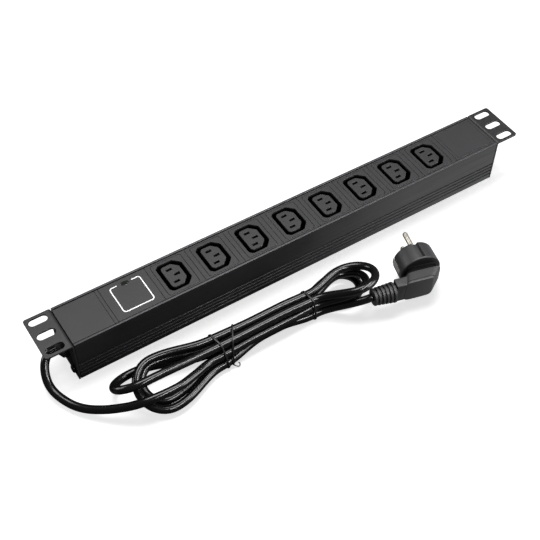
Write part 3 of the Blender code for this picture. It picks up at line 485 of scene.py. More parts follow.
def spots_of(template, places, turns, grows, material):
    """Copies of a template mesh at places, each with its own turn and growth."""
    points = bpy.data.meshes.new("points")
    points.from_pydata([tuple(p) for p in places], [], [])
    for name, rows in (("turn", turns), ("grow", grows)):
        layer = points.attributes.new(name, "FLOAT_VECTOR", "POINT")
        for item, row in zip(layer.data, rows):
            item.vector = row
    return grown(spot_tree(), template, points, {"Material": material})


# Materials

# Sockets of a Mix node: its factor, its two numbers, its two colours, and its results
MIX_FACTOR, MIX_FIRST, MIX_SECOND, MIX_UNDER, MIX_OVER = 0, 2, 3, 6, 7
MIX_NUMBER, MIX_COLOUR = 0, 2


class Finish:
    """A material under construction: nodes on the piece's own coordinates, wired to one shader."""

    def __init__(self, name, roughness, metallic=0.0, coat=0.0):
        self.material = bpy.data.materials.new(name)
        self.material.use_nodes = True
        self.tree = self.material.node_tree
        self.shader = self.tree.nodes["Principled BSDF"]
        self.shader.inputs["Roughness"].default_value = roughness
        self.shader.inputs["Metallic"].default_value = metallic
        self.shader.inputs["Coat Weight"].default_value = coat
        self.shader.inputs["Coat Roughness"].default_value = 0.12

    def add(self, kind, **values):
        node = self.tree.nodes.new(kind)
        for name, value in values.items():
            node.inputs[name.replace("_", " ")].default_value = value
        return node

    def link(self, source, target):
        self.tree.links.new(source, target)

    def coordinates(self, scale=(1.0, 1.0, 1.0), turn=(0.0, 0.0, 0.0), uv=False):
        source = self.add("ShaderNodeTexCoord").outputs["UV" if uv else "Object"]
        mapping = self.add("ShaderNodeMapping", Scale=scale, Rotation=turn)
        self.link(source, mapping.inputs["Vector"])
        return mapping.outputs["Vector"]

    def noise(self, size, coordinates, detail=3.0):
        """Noise with features of a size in metres."""
        texture = self.add("ShaderNodeTexNoise", Scale=1.0 / size, Detail=detail)
        self.link(coordinates, texture.inputs["Vector"])
        return texture.outputs["Fac"]

    def spread(self, factor, low, high, start=0.3, end=0.7):
        """A factor mapped on to a range."""
        remap = self.add("ShaderNodeMapRange")
        for name, value in zip(("From Min", "From Max", "To Min", "To Max"), (start, end, low, high)):
            remap.inputs[name].default_value = value
        self.link(factor, remap.inputs["Value"])
        return remap.outputs["Result"]

    def colour_mix(self, factor, over):
        """A mix towards a colour, which becomes the base colour."""
        mix = self.add("ShaderNodeMix")
        mix.data_type = "RGBA"
        mix.inputs[MIX_OVER].default_value = (*over, 1.0)
        self.link(factor, mix.inputs[MIX_FACTOR])
        self.link(mix.outputs[MIX_COLOUR], self.shader.inputs["Base Color"])
        return mix

    def tint(self, factor, dark, light):
        """Base colour between two colours."""
        mix = self.colour_mix(factor, light)
        mix.inputs[MIX_UNDER].default_value = (*dark, 1.0)
        return mix.outputs[MIX_COLOUR]

    def along(self, direction, start, end, mirrored=False):
        """A factor that rises from 0 to 1 between two distances along a direction, in metres."""
        place = self.coordinates()
        if mirrored:
            fold = self.add("ShaderNodeVectorMath")
            fold.operation = "ABSOLUTE"
            self.link(place, fold.inputs[0])
            place = fold.outputs["Vector"]
        node = self.add("ShaderNodeVectorMath")
        node.operation = "DOT_PRODUCT"
        node.inputs[1].default_value = direction
        self.link(place, node.inputs[0])
        return self.spread(node.outputs["Value"], 0.0, 1.0, start, end)

    def larger(self, first, second):
        """The larger of two factors."""
        node = self.add("ShaderNodeMath")
        node.operation = "MAXIMUM"
        self.link(first, node.inputs[0])
        self.link(second, node.inputs[1])
        return node.outputs["Value"]

    def over(self, under, rgb, factor):
        """Another colour laid over the base colour."""
        mix = self.colour_mix(factor, rgb)
        self.link(under, mix.inputs[MIX_UNDER])
        return mix.outputs[MIX_COLOUR]

    def bump(self, height, depth, under=None):
        """Bumps of a depth in metres, over those made before."""
        node = self.add("ShaderNodeBump", Strength=1.0, Distance=depth)
        self.link(height, node.inputs["Height"])
        if under:
            self.link(under, node.inputs["Normal"])
        self.link(node.outputs["Normal"], self.shader.inputs["Normal"])
        return node.outputs["Normal"]

    def rough(self, factor):
        self.link(factor, self.shader.inputs["Roughness"])


def shade(rgb, factor):
    """The colour, darker or lighter."""
    return tuple(min(1.0, c * factor) for c in rgb)


def coated_metal(name, rgb, streak, rim=None, side=None):
    """Black coated metal: orange peel, faint streaks, handling marks, a painted highlight on the rim's top
    and dull grooves.
    """
    finish = Finish(name, 0.4)
    flat = finish.coordinates()
    drawn = finish.coordinates(scale=streak)
    peel = finish.noise(0.7 * MM, flat, 2.0)
    lines = finish.noise(1.6 * MM, drawn, 4.0)
    marks = finish.noise(38 * MM, flat, 4.0)
    coat = finish.tint(finish.spread(marks, 0.0, 1.0), shade(rgb, 0.85), shade(rgb, 1.2))
    if rim:
        # Painted highlight: the base colour turns three times lighter along the top of the rim
        rubbed = finish.along((0, 0, 1), rim - 0.6 * MM, rim - 0.2 * MM)
        finish.over(coat, shade(rgb, 3.0), rubbed)
        skin = finish.along((0, 1, 0), side - 0.28 * MM, side - 0.05 * MM, True)
        shown = finish.larger(skin, finish.along((0, 0, 1), rim - 4 * MM, rim - 3 * MM))
        gloss = finish.spread(shown, 0.05, 0.5, 0.0, 1.0)
        finish.link(gloss, finish.shader.inputs["Specular IOR Level"])
    finish.rough(finish.spread(lines, 0.34, 0.5))
    first = finish.bump(lines, 0.012 * MM)
    finish.bump(peel, 0.02 * MM, under=first)
    return finish.material


def moulded(name, rgb, grain, depth, low=0.42, high=0.58, shades=()):
    """Moulded plastic with a spark-eroded grain.

    Each painted shade is a colour and a gloss laid over the plastic between two distances along a
    direction; a later one can bring back the plastic's own colour.
    """
    finish = Finish(name, 0.5)
    flat = finish.coordinates()
    fine = finish.noise(grain, flat, 3.0)
    cloud = finish.noise(24 * MM, flat, 3.0)
    coat = finish.tint(finish.spread(cloud, 0.0, 1.0), shade(rgb, 0.9), shade(rgb, 1.12))
    coat = finish.over(coat, shade(rgb, 1.5), finish.spread(fine, 0.0, 0.6, 0.45, 0.7))
    gloss = finish.add("ShaderNodeValue").outputs[0]
    gloss.default_value = 0.5
    # Painted shade laid over the base colour and the gloss, one entry after another
    for colour_there, gloss_there, direction, start, end in shades:
        there = finish.along(direction, start, end)
        coat = finish.over(coat, colour_there, there)
        mix = finish.add("ShaderNodeMix")
        mix.inputs[MIX_SECOND].default_value = gloss_there
        finish.link(there, mix.inputs[MIX_FACTOR])
        finish.link(gloss, mix.inputs[MIX_FIRST])
        gloss = mix.outputs[MIX_NUMBER]
    finish.link(gloss, finish.shader.inputs["Specular IOR Level"])
    finish.rough(finish.spread(fine, low, high))
    finish.bump(fine, depth)
    return finish.material


def sheath(name, rgb):
    """Extruded PVC of the lead: glossy, with a slow waviness and fine draw lines along it."""
    finish = Finish(name, 0.25)
    around = finish.coordinates(scale=(0.012, 0.04, 1.0), uv=True)
    flat = finish.coordinates()
    lines = finish.noise(0.35 * MM, around, 3.0)
    waves = finish.noise(11 * MM, flat, 2.0)
    dust = finish.noise(1.3 * MM, flat, 5.0)
    finish.tint(finish.spread(dust, 0.0, 1.0, 0.45, 0.8), shade(rgb, 0.9), shade(rgb, 1.5))
    finish.rough(finish.spread(waves, 0.19, 0.23))
    first = finish.bump(waves, 0.015 * MM)
    finish.bump(lines, 0.0004 * MM, under=first)
    return finish.material


def plated(name, rgb, roughness, turn=(0.0, 0.0, 0.0), stretch=(1.0, 1.0, 1.0), metallic=1.0):
    """Plated metal with fine turning or drawing lines."""
    finish = Finish(name, roughness, metallic=metallic)
    lines = finish.noise(0.5 * MM, finish.coordinates(scale=stretch, turn=turn), 4.0)
    haze = finish.noise(4 * MM, finish.coordinates(), 3.0)
    finish.tint(finish.spread(haze, 0.0, 1.0), shade(rgb, 0.86), rgb)
    finish.rough(finish.spread(lines, roughness * 0.75, roughness * 1.3))
    finish.bump(lines, 0.01 * MM)
    return finish.material


def smoked(name):
    """Dark indicator window: smooth with a deep tint."""
    finish = Finish(name, 0.12, coat=0.6)
    depth = finish.noise(3 * MM, finish.coordinates(), 2.0)
    finish.tint(finish.spread(depth, 0.0, 1.0), (0.004, 0.005, 0.004), (0.014, 0.018, 0.014))
    return finish.material


def printed(name, rgb):
    """Screen print with a little uneven cover."""
    finish = Finish(name, 0.5)
    cover = finish.noise(0.4 * MM, finish.coordinates(), 4.0)
    finish.tint(finish.spread(cover, 0.0, 1.0), shade(rgb, 0.88), rgb)
    finish.bump(cover, 0.01 * MM)
    return finish.material


def circuit(name):
    """Green solder mask over copper tracks."""
    finish = Finish(name, 0.35)
    tracks = finish.add("ShaderNodeTexBrick", Scale=160.0, Mortar_Size=0.06)
    finish.link(finish.coordinates(), tracks.inputs["Vector"])
    lines = tracks.outputs["Fac"]
    finish.tint(finish.spread(lines, 0.0, 1.0, 0.0, 1.0), (0.02, 0.13, 0.06), (0.04, 0.24, 0.11))
    finish.bump(lines, 0.03 * MM)
    return finish.material


# Lead and hank: the same route as the solids, in millimetres, sampled more finely

HANK_LEFT, HANK_RIGHT = -114.0, -20.0
ROW_0, ROW_1, ROW_2 = 4.5, 12.3, 20.1
LEFT_PLACES = {
    "bottom_front": (-75.4, ROW_0),
    "bottom_middle": (-67.4, ROW_0),
    "bottom_back": (-59.4, ROW_0),
    "middle_front": (-71.8, ROW_1),
    "middle_back": (-58.5, ROW_1),
    "top_front": (-67.0, ROW_2),
    "top_back": (-57.5, ROW_2),
}
RIGHT_PLACES = {
    "bottom_front": (-71.7, ROW_0),
    "bottom_middle": (-61.7, ROW_0),
    "bottom_back": (-52.6, ROW_0),
    "middle_front": (-69.6, ROW_1),
    "middle_back": (-61.1, ROW_1),
    "top_front": (-68.3, ROW_2),
    "top_back": (-60.5, ROW_2),
}
ROW_DRAWN = 19.1
MIDDLE_PLACES = {
    "bottom_front": (-67.2, ROW_0),
    "bottom_middle": (-59.1, ROW_0),
    "bottom_back": (-51.0, ROW_0),
    "middle_front": (-70.3, ROW_1),
    "middle_back": (-62.3, ROW_1),
    "top_front": (-66.4, ROW_DRAWN),
    "top_back": (-58.4, ROW_DRAWN),
}
DRAW_LEFT, DRAW_RIGHT = 0.5, 0.35
RUN_STEPS, EASE_STEPS, ARC_STEPS, WAY_STEPS, LEAD_OUT_STEPS = 30, 14, 22, 6, 24
LEAST_STEP = 0.4
SETTLE_ROUNDS, SLOPE_STEP = 3, 0.5

# Each turn of the hank: the run that it leaves, the run that it joins, where its arc starts and its
# tip lies along X, and the (y, z) of its two sides there
TURNS = (
    ("middle_front", "middle_back", 13.9, 32.4, (-82.1, 21.5), (-51.6, 11.9)),
    ("middle_back", "bottom_middle", -165.0, -181.2, (-48.0, 12.5), (-81.0, 4.5)),
    ("bottom_middle", "bottom_back", 13.0, 31.1, (-76.2, 4.2), (-45.4, 4.2)),
    ("bottom_back", "top_front", -182.0, -202.5, (-42.0, 4.5), (-70.5, 28.4)),
    ("top_front", "top_back", 15.5, 37.2, (-89.1, 34.1), (-53.5, 21.1)),
    ("top_back", "bottom_front", -166.0, -187.6, (-48.6, 20.6), (-90.5, 6.2)),
)

# The way in, from the gland to the hank: a share of the reach along X, then y and z
GLAND_MOUTH = -225.8
INSIDE_DEPTHS = (20.0, 10.0, 1.0)
ARRIVE_STRAIGHT = 7.2
LEAD_IN_REACH = HANK_LEFT - GLAND_MOUTH
LEAD_IN_WAY = (
    (-0.038, -0.1, 21.3),
    (-0.068, -0.8, 20.4),
    (-0.097, -2.8, 18.7),
    (-0.125, -6.7, 15.9),
    (-0.147, -12.7, 12.4),
    (-0.156, -19.4, 9.4),
    (-0.148, -27.1, 7.2),
    (-0.120, -36.2, 6.0),
    (-0.074, -46.1, 5.6),
    (-0.012, -54.9, 6.6),
    (0.083, -64.6, 9.6),
    (0.175, -72.2, 13.4),
    (0.263, -78.1, 17.0),
    (0.360, -82.1, 20.2),
    (0.589, -83.4, 20.0),
    (0.763, -77.8, 16.0),
    (0.875, -73.0, 12.9),
)

# The way out to the plug, and the plug's place
LEAD_OUT_PULL, LEAD_OUT_REACH, LEAD_OUT_DROP, LEAD_OUT_STRAIGHT = 13.2, 13.5, 3.4, 1.6
PLUG_FACE = Vector((80.8, -72.5, 19.0))
PLUG_YAW = radians(14.5)
PLUG_PINS = Vector((sin(PLUG_YAW), cos(PLUG_YAW), 0.0))
PLUG_CABLE = Vector((cos(PLUG_YAW), -sin(PLUG_YAW), 0.0))
PLUG_UP = Vector((0.0, 0.0, 1.0))
COLLAR_FAR = 29.4
RELIEF_BEHIND, RELIEF_GAP = 33.0, 0.3


def plug_place(p, w, behind):
    """A point of the plug in millimetres: along the cable, up, and behind the pin face."""
    return PLUG_FACE + PLUG_CABLE * p + PLUG_UP * w - PLUG_PINS * behind


def smooth_route(points, steps):
    """A centripetal Catmull-Rom curve through the points."""
    route = [Vector(p) for p in points]
    ends = [2 * route[0] - route[1]] + route + [2 * route[-1] - route[-2]]
    out = []
    for a, b, c, d in zip(ends, ends[1:], ends[2:], ends[3:]):
        ta, tb = 0.0, (b - a).length ** 0.5
        tc = tb + (c - b).length ** 0.5
        td = tc + (d - c).length ** 0.5
        for i in range(steps):
            t = tb + (tc - tb) * i / steps
            ab, bc = a.lerp(b, (t - ta) / (tb - ta)), b.lerp(c, (t - tb) / (tc - tb))
            cd = c.lerp(d, (t - tc) / (td - tc))
            abc, bcd = ab.lerp(bc, (t - ta) / (tc - ta)), bc.lerp(cd, (t - tb) / (td - tb))
            out.append(abc.lerp(bcd, (t - tb) / (tc - tb)))
    return out + [route[-1]]


def bezier_route(start, pull, reach, end, steps):
    """A cubic curve from start to end."""
    out = []
    for i in range(steps + 1):
        t = i / steps
        u = 1 - t
        out.append(start * u ** 3 + pull * (3 * t * u ** 2) + reach * (3 * t * t * u) + end * t ** 3)
    return out


def ease(t):
    """A rise from 0 to 1 that starts and ends softly."""
    return (1 - cos(pi * t)) / 2


def run_point(run, x):
    """The middle of a run at x: in its places at the waists, drawn in between them."""
    share = (x - HANK_LEFT) / (HANK_RIGHT - HANK_LEFT)
    drawn = ease(max(0.0, min(1.0, share / DRAW_LEFT, (1.0 - share) / DRAW_RIGHT)))
    y, z = (a + (b - a) * share for a, b in zip(LEFT_PLACES[run], RIGHT_PLACES[run]))
    return Vector((x, y, z)).lerp(Vector((x, *MIDDLE_PLACES[run])), drawn)


def run_between(run, rightwards):
    """Points of a run between the waists, in the direction it is walked."""
    reach = HANK_RIGHT - HANK_LEFT
    points = [run_point(run, HANK_LEFT + reach * k / RUN_STEPS) for k in range(1, RUN_STEPS)]
    return points if rightwards else points[::-1]


def hank_turn(run_in, run_out, arc_x, tip_x, side_in, side_out):
    """From a waist out along one side, round the tip and back along the other side."""
    waist, places = (HANK_LEFT, LEFT_PLACES) if tip_x < HANK_LEFT else (HANK_RIGHT, RIGHT_PLACES)

    def ease_point(run, side, t):
        y, z = (a + (b - a) * ease(t) for a, b in zip(run, side))
        return Vector((waist + (arc_x - waist) * t, y, z))

    shares = [i / EASE_STEPS for i in range(EASE_STEPS)]
    points = [ease_point(places[run_in], side_in, t) for t in shares]
    for i in range(ARC_STEPS + 1):
        angle = pi * i / ARC_STEPS
        y, z = ((a + b) / 2 + (a - b) / 2 * cos(angle) for a, b in zip(side_in, side_out))
        points.append(Vector((arc_x + (tip_x - arc_x) * sin(angle), y, z)))
    return points + [ease_point(places[run_out], side_out, t) for t in reversed(shares)]


def strap_cuts(x, slant):
    """The hank's middle at x, and each run's cut by a strap that slants along y.

    A cut is its middle (y, z) and how far the slant stretches it along y.
    """
    level = [run_point(run, x) for run in LEFT_PLACES]
    middle = sum(point.y for point in level) / len(level)
    cuts = []
    for run, point in zip(LEFT_PLACES, level):
        for _ in range(SETTLE_ROUNDS):
            point = run_point(run, x + slant * (point.y - middle))
        slope = run_point(run, point.x + SLOPE_STEP).y - run_point(run, point.x - SLOPE_STEP).y
        cuts.append((point.y, point.z, hypot(1.0, slope) / (1.0 - slope * slant)))
    return middle, cuts


def strap_point(cuts, c, k, radius, clear):
    """The point of a strap round the cuts that faces the direction (c, k)."""
    y, z, stretch = max(cuts, key=lambda cut: cut[0] * c + cut[1] * k + radius * hypot(cut[2] * c, k))
    reach = hypot(stretch * c, k)
    return (y + radius * stretch * stretch * c / reach + clear * c,
            z + radius * k / reach + clear * k)


def lead_route(gland_y, gland_z, relief_length):
    """The whole lead in metres, from inside the gland to the plug's strain relief."""
    first, last = TURNS[0][0], TURNS[-1][1]
    inside = [(GLAND_MOUTH + depth, gland_y, gland_z) for depth in INSIDE_DEPTHS]
    way = [(GLAND_MOUTH + share * LEAD_IN_REACH, y, z) for share, y, z in LEAD_IN_WAY]
    arrive = [(HANK_LEFT - back, *LEFT_PLACES[first]) for back in (ARRIVE_STRAIGHT, 0.0)]
    points = smooth_route(inside + way + arrive, WAY_STEPS)
    for turn in TURNS:
        run_in, tip_x = turn[0], turn[3]
        points += run_between(run_in, tip_x > HANK_LEFT) + hank_turn(*turn)
    points += run_between(last, True)
    leave = run_point(last, HANK_RIGHT)
    along = (leave - run_point(last, HANK_LEFT)).normalized()
    tip = plug_place(-(COLLAR_FAR + 2 * RELIEF_GAP + relief_length), 0.0, RELIEF_BEHIND)
    stop = tip - PLUG_CABLE * LEAD_OUT_STRAIGHT
    come = stop - PLUG_CABLE * LEAD_OUT_REACH - PLUG_UP * LEAD_OUT_DROP
    points += bezier_route(leave, leave + along * LEAD_OUT_PULL, come, stop, LEAD_OUT_STEPS) + [tip]
    spaced = [points[0]]
    for point in points[1:]:
        if (point - spaced[-1]).length > LEAST_STEP:
            spaced.append(point)
    return [p * MM for p in spaced]


# Operators

class STRIP_OT_stage(bpy.types.Operator):
    """Make the floor, the lamps and the camera"""
    bl_idname = "strip.stage"
    bl_label = "Stage"

    # Each lamp's place, the point that it faces and its size, in metres
    LAMPS = {
        "key": ((0.05, 0.32, 1.2), (0.0, 0.0, 0.0), (0.9, 0.5)),
        "strip": ((0.42, -0.48, 1.0), (0.0, -0.05, 0.0), (1.5, 0.10)),
        "front": ((0.9, -0.65, 0.5), (0.22, 0.0, 0.0), (0.7, 0.6)),
        "rear": ((-0.8, 0.9, 0.4), (0.0, 0.0, 0.0), (0.7, 0.5)),
    }
    SHADOW_LAMP = "key"
    CAMERA_TARGET = Vector((-24.55, -7.07, 0.0)) * MM
    SENSOR_WIDTH = 36.0
    CLIP_START = 0.05
    FLOOR_HALF, FLOOR_DROP = 6.0, 0.2 * MM
    PAPER_DARK, PAPER_LIGHT = (0.84, 0.84, 0.84), (0.86, 0.86, 0.86)

    # What the camera sees: the paper's glow near the strip and far from it, and where it changes
    GLOW_NEAR, GLOW_FAR = 0.69, 1.0
    NEAR, FAR = 0.16, 0.5

    # What the pieces see: dim paper that grows brighter along X
    BOUNCE_COLOUR, BOUNCE_GLOW = (0.1, 0.1, 0.1, 1.0), 0.58
    BOUNCE_START, BOUNCE_END = -0.03, 0.14

    def execute(self, context):
        scene, s = context.scene, context.scene.strip_stage
        scene.view_settings.view_transform = "Standard"
        floor = self.floor()
        self.world(scene, s.fill)
        for name, (place, target, size) in self.LAMPS.items():
            lamp = self.lamp(f"{name}_lamp", getattr(s, name), place, target, size)
            if name != self.SHADOW_LAMP:
                self.keep_off(lamp, floor)
        self.camera(scene, s)
        return {"FINISHED"}

    def camera(self, scene, s):
        camera = bpy.data.objects.new("camera", bpy.data.cameras.new("camera"))
        camera.data.lens = s.lens
        camera.data.sensor_width = self.SENSOR_WIDTH
        camera.data.clip_start = self.CLIP_START
        level = cos(s.elevation)
        back = Vector((sin(s.azimuth) * level, -cos(s.azimuth) * level, sin(s.elevation)))
        right = Vector((cos(s.azimuth), sin(s.azimuth), 0.0))
        up = back.cross(right)
        sideways = right * cos(s.roll) + up * sin(s.roll)
        upwards = up * cos(s.roll) - right * sin(s.roll)
        camera.matrix_world = Matrix((sideways, upwards, back)).transposed().to_4x4()
        camera.location = self.CAMERA_TARGET + back * s.distance
        scene.collection.objects.link(camera)
        scene.camera = camera

    def floor(self):
        bm = bmesh.new()
        bmesh.ops.create_grid(bm, x_segments=8, y_segments=8, size=self.FLOOR_HALF)
        mesh = bpy.data.meshes.new("floor")
        bm.to_mesh(mesh)
        bm.free()
        mesh.materials.append(self.paper())
        floor = bpy.data.objects.new("floor", mesh)
        floor.location.z = -self.FLOOR_DROP
        bpy.context.scene.collection.objects.link(floor)
        return floor

    def paper(self):
        """White paper that shows bright to the camera and dimmer to the pieces on it."""
        finish = Finish("floor paper", 0.9)
        grain = finish.noise(2 * MM, finish.coordinates(), 3.0)
        finish.tint(grain, self.PAPER_DARK, self.PAPER_LIGHT)
        finish.shader.inputs["Specular IOR Level"].default_value = 0.0
        away = finish.add("ShaderNodeVectorMath")
        away.operation = "LENGTH"
        finish.link(finish.coordinates(), away.inputs[0])
        glow = finish.spread(away.outputs["Value"], self.GLOW_NEAR, self.GLOW_FAR, self.NEAR, self.FAR)
        shown = self.glowing(finish, finish.shader, glow)
        dim = finish.add("ShaderNodeBsdfDiffuse", Color=self.BOUNCE_COLOUR)
        rise = finish.along((1, 0, 0), self.BOUNCE_START, self.BOUNCE_END)
        bounced = self.glowing(finish, dim, finish.spread(rise, 0.0, self.BOUNCE_GLOW, 0.0, 1.0))
        rays, choice = finish.add("ShaderNodeLightPath"), finish.add("ShaderNodeMixShader")
        finish.link(rays.outputs["Is Camera Ray"], choice.inputs[0])
        finish.link(bounced, choice.inputs[1])
        finish.link(shown, choice.inputs[2])
        finish.link(choice.outputs["Shader"], finish.tree.nodes["Material Output"].inputs["Surface"])
        return finish.material

    def glowing(self, finish, shader, strength):
        """A shader with a glow of its own added to it."""
        glow, both = finish.add("ShaderNodeEmission"), finish.add("ShaderNodeAddShader")
        finish.link(strength, glow.inputs["Strength"])
        finish.link(shader.outputs["BSDF"], both.inputs[0])
        finish.link(glow.outputs["Emission"], both.inputs[1])
        return both.outputs["Shader"]

    def world(self, scene, strength):
        """White to the camera, and a faint light from all round to the pieces."""
        world = bpy.data.worlds.new("studio")
        scene.world = world
        world.use_nodes = True
        nodes, links = world.node_tree.nodes, world.node_tree.links
        sky = nodes["Background"]
        sky.inputs["Color"].default_value = (1.0, 1.0, 1.0, 1.0)
        rays, power = nodes.new("ShaderNodeLightPath"), nodes.new("ShaderNodeMapRange")
        power.inputs["To Min"].default_value = strength
        power.inputs["To Max"].default_value = 1.0
        links.new(rays.outputs["Is Camera Ray"], power.inputs["Value"])
        links.new(power.outputs["Result"], sky.inputs["Strength"])

    def lamp(self, name, power, place, target, size):
        data = bpy.data.lights.new(name, "AREA")
        data.shape = "RECTANGLE"
        data.size, data.size_y = size
        data.energy = power
        lamp = bpy.data.objects.new(name, data)
        lamp.location = place
        lamp.rotation_euler = (Vector(place) - Vector(target)).to_track_quat("Z", "Y").to_euler()
        bpy.context.scene.collection.objects.link(lamp)
        return lamp

    def keep_off(self, lamp, floor):
        """Leave the floor out of a lamp's light, so that the lamp throws no shadow on it."""
        group = bpy.data.collections.new(lamp.name)
        group.objects.link(floor)
        group.collection_objects[0].light_linking.link_state = "EXCLUDE"
        lamp.light_linking.receiver_collection = group


class STRIP_OT_lead(bpy.types.Operator):
    """Make the mains lead with its hank, from the gland to the plug"""
    bl_idname = "strip.lead"
    bl_label = "Mains lead"

    SIDES = 28
    LEAD_CRISP = 50.0

    def execute(self, context):
        s = context.scene.strip_lead
        relief = context.scene.strip_plug.relief_length
        route = lead_route(s.gland_y / MM, s.gland_z / MM, relief / MM)
        bm = bmesh.new()
        tube(bm, route, s.diameter / 2, self.SIDES)
        material = sheath("lead sheath", context.scene.strip_finish.cord)
        lead = piece("mains_lead", mesh_from(bm, "mains_lead", self.LEAD_CRISP), material, "cord_black",
                     "cord_lead_in", "cord_hank", "cord_lead_out")
        context.scene["lead_route"] = [c for p in route for c in p]
        context.scene["lead_name"] = lead.name
        return {"FINISHED"}


class STRIP_OT_housing(bpy.types.Operator):
    """Make the grooved aluminium trough"""
    bl_idname = "strip.housing"
    bl_label = "Housing"

    GROOVE_FLOOR = 0.27
    BOSS_TOP, BOSS_INNER = 12.6 * MM, 10.4 * MM
    SAWN_EDGE = 0.15 * MM
    STREAK = (0.02, 1.0, 1.0)

    def execute(self, context):
        s = context.scene.strip_sizes
        ports = [hole(circle(side * SCREW_ROW, SCREW_HEIGHT, SCREW_HOLE, 20)) for side in (-1, 1)]
        end = s.body_length / 2
        bm = bmesh.new()
        slab(bm, [self.section(s)] + ports, -end, end, self.SAWN_EDGE, "X", 2)
        material = coated_metal("housing coat", context.scene.strip_finish.paint, self.STREAK,
                                s.body_height, s.body_width / 2)
        piece("housing", mesh_from(bm, "housing"), material, "black_paint", "housing_channel")
        return {"FINISHED"}

    def section(self, s):
        """The trough's outline across the strip: grooves, lip, ledge and screw boss on each side."""
        outer, bottom = s.body_width / 2, s.body_width / 2 - s.groove_depth
        lip, reach, inside = outer - s.lip_width, outer - s.ledge_reach, outer - s.wall
        ledge = s.body_height - s.lip_rise
        under = ledge - s.ledge_thickness
        mouth, flat = s.groove_width / 2, s.groove_width * self.GROOVE_FLOOR
        half = [(outer, 0.0)]
        for k in range(s.groove_count):
            z = s.groove_lowest + s.groove_pitch * k
            half += [(outer, z - mouth), (bottom, z - flat), (bottom, z + flat), (outer, z + mouth)]
        half += [(outer, s.body_height), (lip, s.body_height), (lip, ledge), (reach, ledge), (reach, under),
                 (inside, under), (inside, self.BOSS_TOP), (self.BOSS_INNER, self.BOSS_TOP),
                 (self.BOSS_INNER, s.wall)]
        return soften(half + [(-y, z) for y, z in reversed(half)], s.edge, 3)


class STRIP_OT_brackets(bpy.types.Operator):
    """Make the two bent end brackets with their slotted ears"""
    bl_idname = "strip.brackets"
    bl_label = "End brackets"

    EAR_CORNER = 2.2 * MM
    SHEET_EDGE = 0.22 * MM
    BEND_STEPS = 8
    SHEET_CRISP = 40.0
    STREAK = (1.0, 1.0, 1.0)

    def execute(self, context):
        s, lead = context.scene.strip_sizes, context.scene.strip_lead
        material = coated_metal("bracket coat", context.scene.strip_finish.paint, self.STREAK)
        for side, end in ((-1, "left"), (1, "right")):
            mesh = self.bracket(s, lead, side)
            piece(f"{end}_bracket", mesh, material, "black_paint", f"{end}_end_bracket")
        return {"FINISHED"}

    def bracket(self, s, lead, side):
        """The flat blank, cut across its bend and folded: u runs from the ear's end down the leg."""
        thick, radius = s.bracket_thickness, s.bend_radius
        half, corner = s.body_width / 2, self.EAR_CORNER
        leg = s.body_length / 2 + GAP
        ear = s.panel_width / 2 - leg - radius
        bend = radius * pi / 2
        drop = s.body_height - radius
        foot = ear + bend + drop
        outline = ([(foot, -half), (foot, half)] + arc(corner, half - corner, corner, 90, 180, 6)
                   + arc(corner, corner - half, corner, 180, 270, 6))
        slot_at = s.panel_width / 2 - s.slot_row
        holes = [stadium(slot_at, k * s.hole_pitch, s.slot_length, s.slot_width) for k in (-1, 0, 1)]
        holes += [circle(foot - SCREW_HEIGHT, end * SCREW_ROW, SCREW_HOLE, 20) for end in (-1, 1)]
        if side < 0:
            holes.append(circle(foot - lead.gland_z, lead.gland_y, GLAND_HOLE, 36))
        bm = bmesh.new()
        slab(bm, [outline] + [hole(rim) for rim in holes], 0.0, thick, self.SHEET_EDGE)
        for k in range(self.BEND_STEPS + 1):
            cut = (ear + bend * k / self.BEND_STEPS, 0, 0)
            everything = bm.verts[:] + bm.edges[:] + bm.faces[:]
            bmesh.ops.bisect_plane(bm, geom=everything, plane_co=cut, plane_no=(1, 0, 0))
        for v in bm.verts:
            u, y, t = v.co
            if u <= ear:
                x, z = leg + radius + ear - u, s.body_height - t
            elif u <= ear + bend:
                angle = pi / 2 + (u - ear) / radius
                x = leg + radius + (radius - t) * cos(angle)
                z = s.body_height - radius + (radius - t) * sin(angle)
            else:
                x, z = leg + t, drop - (u - ear - bend)
            v.co = (side * x, y, z)
        return mesh_from(bm, "bracket", self.SHEET_CRISP)


